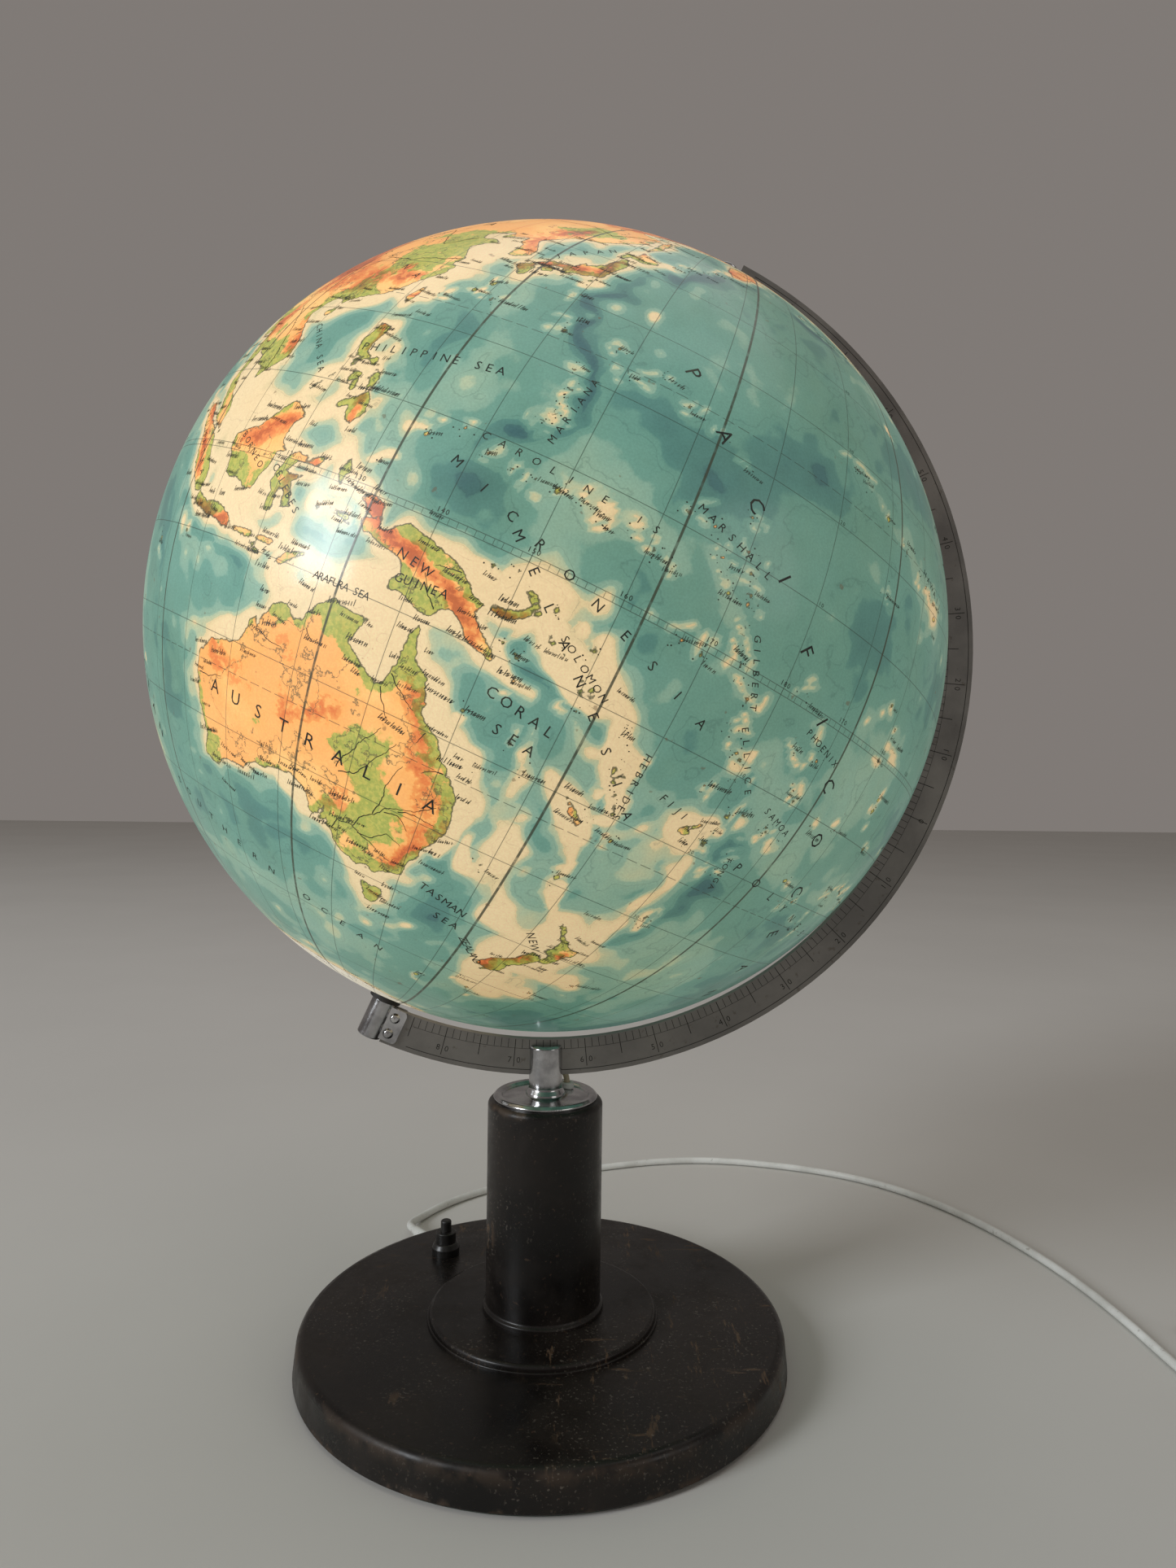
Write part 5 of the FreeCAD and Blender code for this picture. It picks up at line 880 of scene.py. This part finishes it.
    # The lamp inside is warmest where the paper is thin.
    glow = g.mix(g.step(g.noise(17, 3), 0.35, 0.65), [1.0, 0.9, 0.74, 1], [1.0, 0.96, 0.86, 1])
    g.set(Base_Color=paper, Emission_Color=g.mix(1.0, paper, glow, "MULTIPLY"),
          Roughness=g.step(g.noise(40, 5), 0.35, 0.65, 0.32, 0.5))
    g.bump(g.plus(g.times(fine, 0.4), g.times(seam, 1.2)), 0.1, 0.1 * MM)
    return g.material


# ---------------------------------------------------------------- printing on the map and the ring

GLYPHS = {}
DIGIT_STEP = 0.62
# Plain names as size in millimetres, the place of the first letter, of the last one, and words.
NAMES = """
5.2 157 27 193 -6 PACIFIC; 5.2 197 -12 214 -38 OCEAN; 3.2 139 6 173 -7 MICRONESIA;
3.2 148 1.6 171 -19 MELANESIA; 3.4 152 -13.4 159 -14.6 CORAL; 3.4 154 -16.6 158 -17.2 SEA;
3 138 -4.6 141 -5.2 NEW; 2.8 138.6 -6.9 143.6 -6.6 GUINEA; 4.6 117.6 -25.8 150.6 -27.4 AUSTRALIA;
3 153.6 -37.6 160 -39 TASMAN; 3 157 -41 160 -41.4 SEA; 2.8 170.4 -38 172.2 -39.6 NEW;
2.8 162.4 -43 166.6 -46 ZEALAND; 2.4 129.6 -9.9 136 -9.9 ARAFURA SEA; 2.4 156.4 -5.6 162.4 -9.2 SOLOMON;
2.4 140.4 9.6 160 8.2 CAROLINE IS; 2.4 146.6 12 147.6 20 MARIANA; 2.6 163.6 12.6 173 9.8 MARSHALL;
2.4 174.6 3.4 177.6 -3 GILBERT; 2.4 178 -5.4 182.4 -11 ELLICE; 2.6 173.6 -15.6 177 -16.4 FIJI;
2.4 186 -2.2 192 -3.6 PHOENIX; 2.4 186.4 -11.8 191 -13 SAMOA; 2.2 186 -18.6 186.6 -22.4 TONGA;
2.4 169.6 -12.6 170 -19.6 HEBRIDES; 2.6 200 23.6 207 22 HAWAII; 3.4 188 -19 224 -25 POLYNESIA;
3 121 15 138 17 PHILIPPINE SEA; 2.4 110.6 16.8 117 11 CHINA SEA; 2.4 110.8 1.6 116 -1.2 BORNEO;
2.4 97.4 3.6 104.4 -3.6 SUMATRA; 2.6 118.8 -1 124 -4.6 CELEBES; 2.6 132.6 37 138 42.4 JAPAN;
3 103 33 118 27 CHINA; 5 62 42 112 44 ASIA; 3.4 70 62 128 64 SIBERIA; 3 74.4 24 80 15 INDIA;
3 42 26 50 20 ARABIA; 2.6 64 14 60 18 SEA; 2.4 86.6 16 91 12 BENGAL; 4.8 68 -8 96 -36 INDIAN OCEAN;
4.6 8 50 38 56 EUROPE; 3.2 -4 24 26 22 SAHARA; 4.8 12 14 27 -22 AFRICA; 2.4 44.6 -16 46.6 -24 ISLE;
2.2 6 38.4 29 34 MEDITERRANEAN; 4.8 -52 42 -28 14 ATLANTIC; 4.2 -30 2 -16 -28 OCEAN;
4.6 -118 56 -76 46 NORTH AMERICA; 3 -122 63 -98 61 CANADA; 3 -107 27 -99 20 MEXICO;
2.6 -95.6 25.4 -87 24.6 GULF; 2.8 -81 16 -66 14.6 CARIBBEAN; 4.6 -71 3 -60 -38 SOUTH AMERICA;
3 -57 -7 -44 -15 BRAZIL; 3 -48 64 -38 76 GREENLAND; 4.2 20 -80 150 -78 ANTARCTICA;
2.6 -178 60 -168 57 BERING; 2.8 -157 66 -150 63 ALASKA; 5.2 -150 34 -128 10 PACIFIC;
5.2 -132 -8 -96 -32 OCEAN; 3 100 -42 150 -52 SOUTHERN OCEAN; 3 -10 -50 50 -56 SOUTHERN OCEAN;
3 -150 -56 -90 -58 SOUTHERN OCEAN; 3 20 84 160 82 ARCTIC OCEAN"""


# Rivers from their sources to the sea.
RIVERS = """
148 -36.4, 146 -35.9, 143.6 -35, 141.6 -34.1, 139.6 -34.2, 139 -35.6; 149.6 -28.6, 147.6 -29.4, 145 -31,
142.6 -32.6, 142 -34; 148.8 -33.8, 146.6 -33.2, 144.4 -34.4, 142.8 -34.6; 151.4 -27.4, 149.6 -28.6;
152 -29.6, 149.4 -29.4, 147.2 -29.8; 149 -31.6, 147 -30.4, 145.6 -30.6; 146 -24.6, 145 -27, 144.8 -29.4,
144.2 -31.4; 144.6 -22.6, 142.6 -25.4, 141 -27.6, 138.6 -28.4; 142.4 -21.8, 140.4 -24.4, 139 -26.6,
138.2 -28; 142.6 -20.6, 141.4 -18.8, 140.8 -17.7; 145 -18.6, 143 -17.4, 141.5 -16; 148.2 -24.4,
149.4 -23.6, 150.6 -23.5; 146.6 -21.6, 147.2 -20.2; 131.6 -16.4, 130.4 -15.4; 127.6 -18.4, 126 -18.2,
124 -17.6; 118.6 -24.4, 116 -25, 114 -25; 141 -5.4, 142 -7, 143.2 -8.4; 141.6 -4.4, 143 -4.2, 144.4 -4;
96 33, 100 28, 104 29, 108 31, 113 30, 117 31, 121.4 31.6; 98 35, 104 37, 108 41, 111 38, 114 35,
118 37.4; 97 30, 100 22, 104 17, 106 12, 106.4 10.2; 108 49, 118 50, 127 50, 134 48, 140 52.6; 82 50,
78 56, 70 61, 68 66; 98 52, 92 57, 88 63, 83 70; 106 54, 118 60, 128 63, 125 71; 80 31, 77 28, 82 25.6,
88 24, 90.4 22.6; 80 31.6, 74 34, 71 29, 67.6 24.4; 33 0, 31.6 5, 32.6 12, 33 18, 31 24, 31 30.6; 27 -11,
25 -3, 22 2, 17 -1, 13 -6; -10 10, -5 15, 0 16, 5 10, 6 5; 24 -13, 26 -18, 31 -16, 36 -18.6; -74 -6,
-66 -3, -58 -3, -51 -1; -48 -18, -54 -23, -58 -30, -58 -34; -110 46, -100 46, -95 41, -90 38, -90 31;
-117 62, -124 66, -134 69; 40 57, 48 56, 46 50, 48 46; 9 48, 17 48, 20 44, 29 45; -115 43, -119 46,
-124 46.2; -106 38, -106 32, -98 26"""


def glyph(char):
    """A character's flat outline in the built-in font, about one unit high, centred across."""
    if char not in GLYPHS:
        curve = bpy.data.curves.new("glyph", "FONT")
        curve.body = char
        curve.resolution_u = 2
        held = bpy.data.objects.new("glyph", curve)
        mesh = bpy.data.meshes.new_from_object(held)
        across = [v.co.x for v in mesh.vertices]
        middle = (min(across) + max(across)) / 2
        GLYPHS[char] = ([(v.co.x - middle, v.co.y - 0.35) for v in mesh.vertices],
                        [tuple(p.vertices) for p in mesh.polygons])
        bpy.data.objects.remove(held)
        bpy.data.curves.remove(curve)
        bpy.data.meshes.remove(mesh)
    return GLYPHS[char]


class Ink:
    """Flat marks gathered into one mesh; carry(x, y) puts a flat point in its place."""

    def __init__(self, name, material, body):
        self.name, self.material, self.body = name, material, body
        self.points, self.faces = [], []

    def mark(self, flat, faces, carry):
        first = len(self.points)
        self.points += [carry(x, y) for x, y in flat]
        self.faces += [tuple(first + i for i in face) for face in faces]

    def bar(self, x0, y0, x1, y1, width, carry):
        """A straight stroke of that width between two flat points."""
        long = math.hypot(x1 - x0, y1 - y0)
        nx, ny = (y0 - y1) / long * width / 2, (x1 - x0) / long * width / 2
        self.mark([(x0 - nx, y0 - ny), (x1 - nx, y1 - ny), (x1 + nx, y1 + ny), (x0 + nx, y0 + ny)],
                  [(0, 1, 2, 3)], carry)

    def write(self, number, start, rise, carry):
        """A number whose first digit is centred on start."""
        for i, char in enumerate(number):
            flat, faces = glyph(char)
            self.mark([(x + start + i * DIGIT_STEP, y + rise) for x, y in flat], faces, carry)

    def made(self, slot):
        piece = mesh_object(self.name, self.points, self.faces, self.material, smooth=False)
        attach(piece, self.body)


def on_ball(lon, lat, heading=0.0, size=1.0, slant=0.0):
    """A carry for marks round a place on the ball, heading in radians north of east."""
    lon, lat, size = math.radians(lon) + MAP_TURN, math.radians(lat), float(size)
    axes = Matrix((EAST, SIDE, POLE)).transposed()
    out = axes @ Vector((math.cos(lat) * math.cos(lon), math.cos(lat) * math.sin(lon), math.sin(lat)))
    east = axes @ Vector((-math.sin(lon), math.cos(lon), 0))
    run = math.cos(heading) * east + math.sin(heading) * out.cross(east)
    rise = out.cross(run)
    scale = size * MM / MAP_RADIUS

    def carry(x, y):
        where = out + run * float((x + slant * y) * scale) + rise * float(y * scale)
        return BALL_CENTRE + where.normalized() * (MAP_RADIUS + 0.05 * MM)

    return carry


def add_names(material):
    ink = Ink("map_names", material, "ball")
    letters = []
    for line in NAMES.split(";"):
        size, lon0, lat0, lon1, lat1, *words = line.split()
        size, lon0, lat0, lon1, lat1 = (float(v) for v in (size, lon0, lat0, lon1, lat1))
        text = " ".join(words)
        shrink = math.cos(math.radians((lat0 + lat1) / 2))
        heading = math.atan2(lat1 - lat0, (lon1 - lon0) * shrink)
        for i, char in enumerate(text):
            if char != " ":
                part = i / (len(text) - 1)
                lon, lat = lon0 + (lon1 - lon0) * part, lat0 + (lat1 - lat0) * part
                letters.append(on_sphere(lon, lat))
                ink.mark(*glyph(char), on_ball(lon, lat, heading, size * 1.4, 0.12 if size < 3 else 0))
    for lon in range(-170, 190, 10):
        number = str(abs(lon))
        ink.write(number, (1 - len(number)) / 2 * DIGIT_STEP, 0, on_ball(lon, 0.85, 0, 2.3))
    for lat in range(-80, 90, 10):
        if lat:
            for lon in (0, 90, 180, -90):
                ink.write(str(abs(lat)), 0.5, 0.55, on_ball(lon, lat, 0, 1.9))
    add_rivers(ink)
    ink.made("map_shell")
    return np.array(letters)


def add_rivers(ink):
    """Great rivers as thin lines that wind and swell towards the sea."""
    rng = np.random.default_rng(9)
    for line in RIVERS.split(";"):
        points = np.array(thicken(read_points(line), 0.22))
        bend = np.cumsum(rng.normal(0, 0.1, points.shape), 0)
        bend -= np.linspace(0, 1, len(points))[:, None] * bend[-1]
        points = points + 0.55 * bend
        for i, ((x0, y0), (x1, y1)) in enumerate(zip(points, points[1:])):
            shrink = math.cos(math.radians(y0))
            long = math.hypot((x1 - x0) * shrink, y1 - y0) * MM_PER_DEGREE
            carry = on_ball(x0, y0, math.atan2(y1 - y0, (x1 - x0) * shrink))
            ink.bar(-0.05, 0, long + 0.05, 0, 0.16 + 0.2 * i / len(points), carry)


def add_small_print(material, dots, letters):
    """Tiny unreadable labels and island dots, as thick near the coasts as on such a map."""
    rng = np.random.default_rng(7)
    ink = Ink("map_small_print", material, "ball")
    coast = np.array([p for points in outlines() for p in thicken(points, 1.2)])
    picks = coast[rng.permutation(len(coast))[:1500]] + rng.normal(0, 1.1, (1500, 2))
    sites = np.concatenate([np.array(ISLANDS) + rng.normal(0, 0.5, (len(ISLANDS), 2)), picks])
    kept = []
    for lon, lat in sites:
        if abs(lat) > 80:
            continue
        here = on_sphere(lon, lat)
        # The last part of a label lies east of its place, so names are kept clear there too.
        beside = np.stack([here, on_sphere(lon + 1.4, lat)])
        if np.max(beside @ letters.T) > math.cos(math.radians(1.25)):
            continue
        if kept and np.max(np.array(kept) @ here) > math.cos(math.radians(1.45)):
            continue
        kept.append(here)
        carry = on_ball(lon, lat, rng.normal(0, 0.12), rng.choice([1.4, 1.6, 1.9]), 0.28)
        x = 0.0
        for i in range(rng.integers(4, 11)):
            tall = 1.15 if i == 0 else 0.7 + 0.35 * (rng.random() < 0.25)
            ink.bar(x, -0.35, x, tall - 0.35, 0.13, carry)
            if rng.random() < 0.75:
                ink.bar(x, 0.3 * rng.random() - 0.35, x + 0.36, 0.35 * rng.random(), 0.11, carry)
            if rng.random() < 0.5:
                ink.bar(x + 0.36, -0.35, x + 0.36, 0.3, 0.12, carry)
            x += 0.42 + 0.2 * rng.random()
    ring = [(math.cos(a), math.sin(a)) for a in np.arange(6) * math.pi / 3]
    for lon, lat in ISLANDS:
        for _ in range(dots):
            place = lon + rng.normal(0, 0.55), lat + rng.normal(0, 0.55)
            ink.mark(ring, [tuple(range(6))], on_ball(*place, 0, rng.uniform(0.14, 0.3)))
    ink.made("map_shell")


def on_ring(degrees, face):
    """A carry for marks on a ring face: x runs round it and y out from the ball's centre."""
    angle = math.radians(degrees)
    out = math.cos(angle) * POLE + math.sin(angle) * EAST
    run = -math.sin(angle) * POLE + math.cos(angle) * EAST
    lift = Vector((0, face * (RING_HALF + 0.03 * MM), 0))
    return lambda x, y: BALL_CENTRE + out * (y * MM) - face * run * (x * MM) + lift


RING_HALF = 2 * MM
RING_INNER, RING_OUTER = 172.8, 188.4


def add_ring_scale(material):
    """Degrees of latitude along the ring: a tick a degree, and numbers every ten."""
    ink = Ink("ring_scale", material, "stand")
    for face in (-1, 1):
        for degrees in range(5, 176):
            far = 12.4 if degrees % 10 == 0 else 9 if degrees % 5 == 0 else 4.2
            width = 0.34 if degrees % 5 == 0 else 0.24
            carry = on_ring(degrees, face)
            ink.bar(0, RING_INNER + 0.3, 0, RING_INNER + far, width, carry)
            if degrees % 10 == 0:
                text = str(abs(90 - degrees))
                # South of the equator the numbers stand the other way up.
                way = 3.6 if degrees <= 90 else -3.6
                for i, char in enumerate(text):
                    shift = (i - (len(text) - 1) / 2) * 1.05
                    ink.mark([((x + shift) * way, RING_INNER + 9.4 + y * way)
                              for x, y in glyph(char)[0]], glyph(char)[1], carry)
        for radius, width in ((RING_INNER + 4.3, 0.16), (RING_OUTER - 2.1, 0.3)):
            for half in range(8, 350):
                carry = on_ring(half / 2, face)
                reach = math.radians(0.26) * radius
                ink.bar(-reach, radius, reach, radius, width, carry)
    ink.made("ring_metal")


def ink_paint(name, tint, faded, rough, metallic=0.0):
    """Thin ink or filled engraving that has faded in patches."""
    g = Graph(name, Metallic=metallic)
    g.set(Base_Color=g.mix(g.step(g.noise(90, 5, 0.65), 0.42, 0.7), tint, faded),
          Roughness=g.step(g.noise(160, 3), 0.3, 0.7, rough, rough + 0.15))
    return g.material


# ---------------------------------------------------------------- the scene

def add_stage():
    g = Graph("floor_paper", Roughness=0.85)
    cloud = g.noise(3.5, 5)
    g.set(Base_Color=g.mix(cloud, srgb(197, 195, 190), srgb(207, 205, 200)))
    g.bump(g.noise(900, 3), 0.15, 0.1 * MM)
    side, step_count = 5.0, 24
    points = [(side * (2 * i / step_count - 1), side * (2 * j / step_count - 1), 0)
              for j in range(step_count + 1) for i in range(step_count + 1)]
    wide = step_count + 1
    faces = [(j * wide + i, j * wide + i + 1, (j + 1) * wide + i + 1, (j + 1) * wide + i)
             for j in range(step_count) for i in range(step_count)]
    mesh_object("floor", points, faces, g.material)
    world = bpy.data.worlds.new("room")
    world.use_nodes = True
    world.node_tree.nodes["Background"].inputs["Color"].default_value = (0.215, 0.195, 0.182, 1)
    world.node_tree.nodes["Background"].inputs["Strength"].default_value = 1.0
    bpy.context.scene.world = world
    add_softbox("window", (-3.08, -1.8, 1.63), (0, 0, 0.3), (1.05, 1.52), 86, (0.92, 0.96, 1.0))
    add_softbox("sky", (0.3, 0.2, 2.4), (0, 0, 0), (2.2, 2.2), 8.5, (1.0, 0.98, 0.95))
    add_softbox("fill", (1.7, -1.4, 0.9), (0, 0, 0.25), (1.0, 1.0), 3.5, (1.0, 0.97, 0.93))


bpy.context.scene.view_settings.view_transform = "Standard"
add_camera()
MATERIALS = paint_nodes()
add_lead(MATERIALS["pale_pvc"])
add_stage()
add_gores(map_paper())
BLACK_INK = ink_paint("map_ink", srgb(30, 34, 30), srgb(70, 74, 60), 0.4)
LETTERS = add_names(BLACK_INK)
add_small_print(BLACK_INK, 4, LETTERS)
add_ring_scale(ink_paint("scale_fill", srgb(34, 32, 29), srgb(62, 58, 52), 0.55, 0.3))
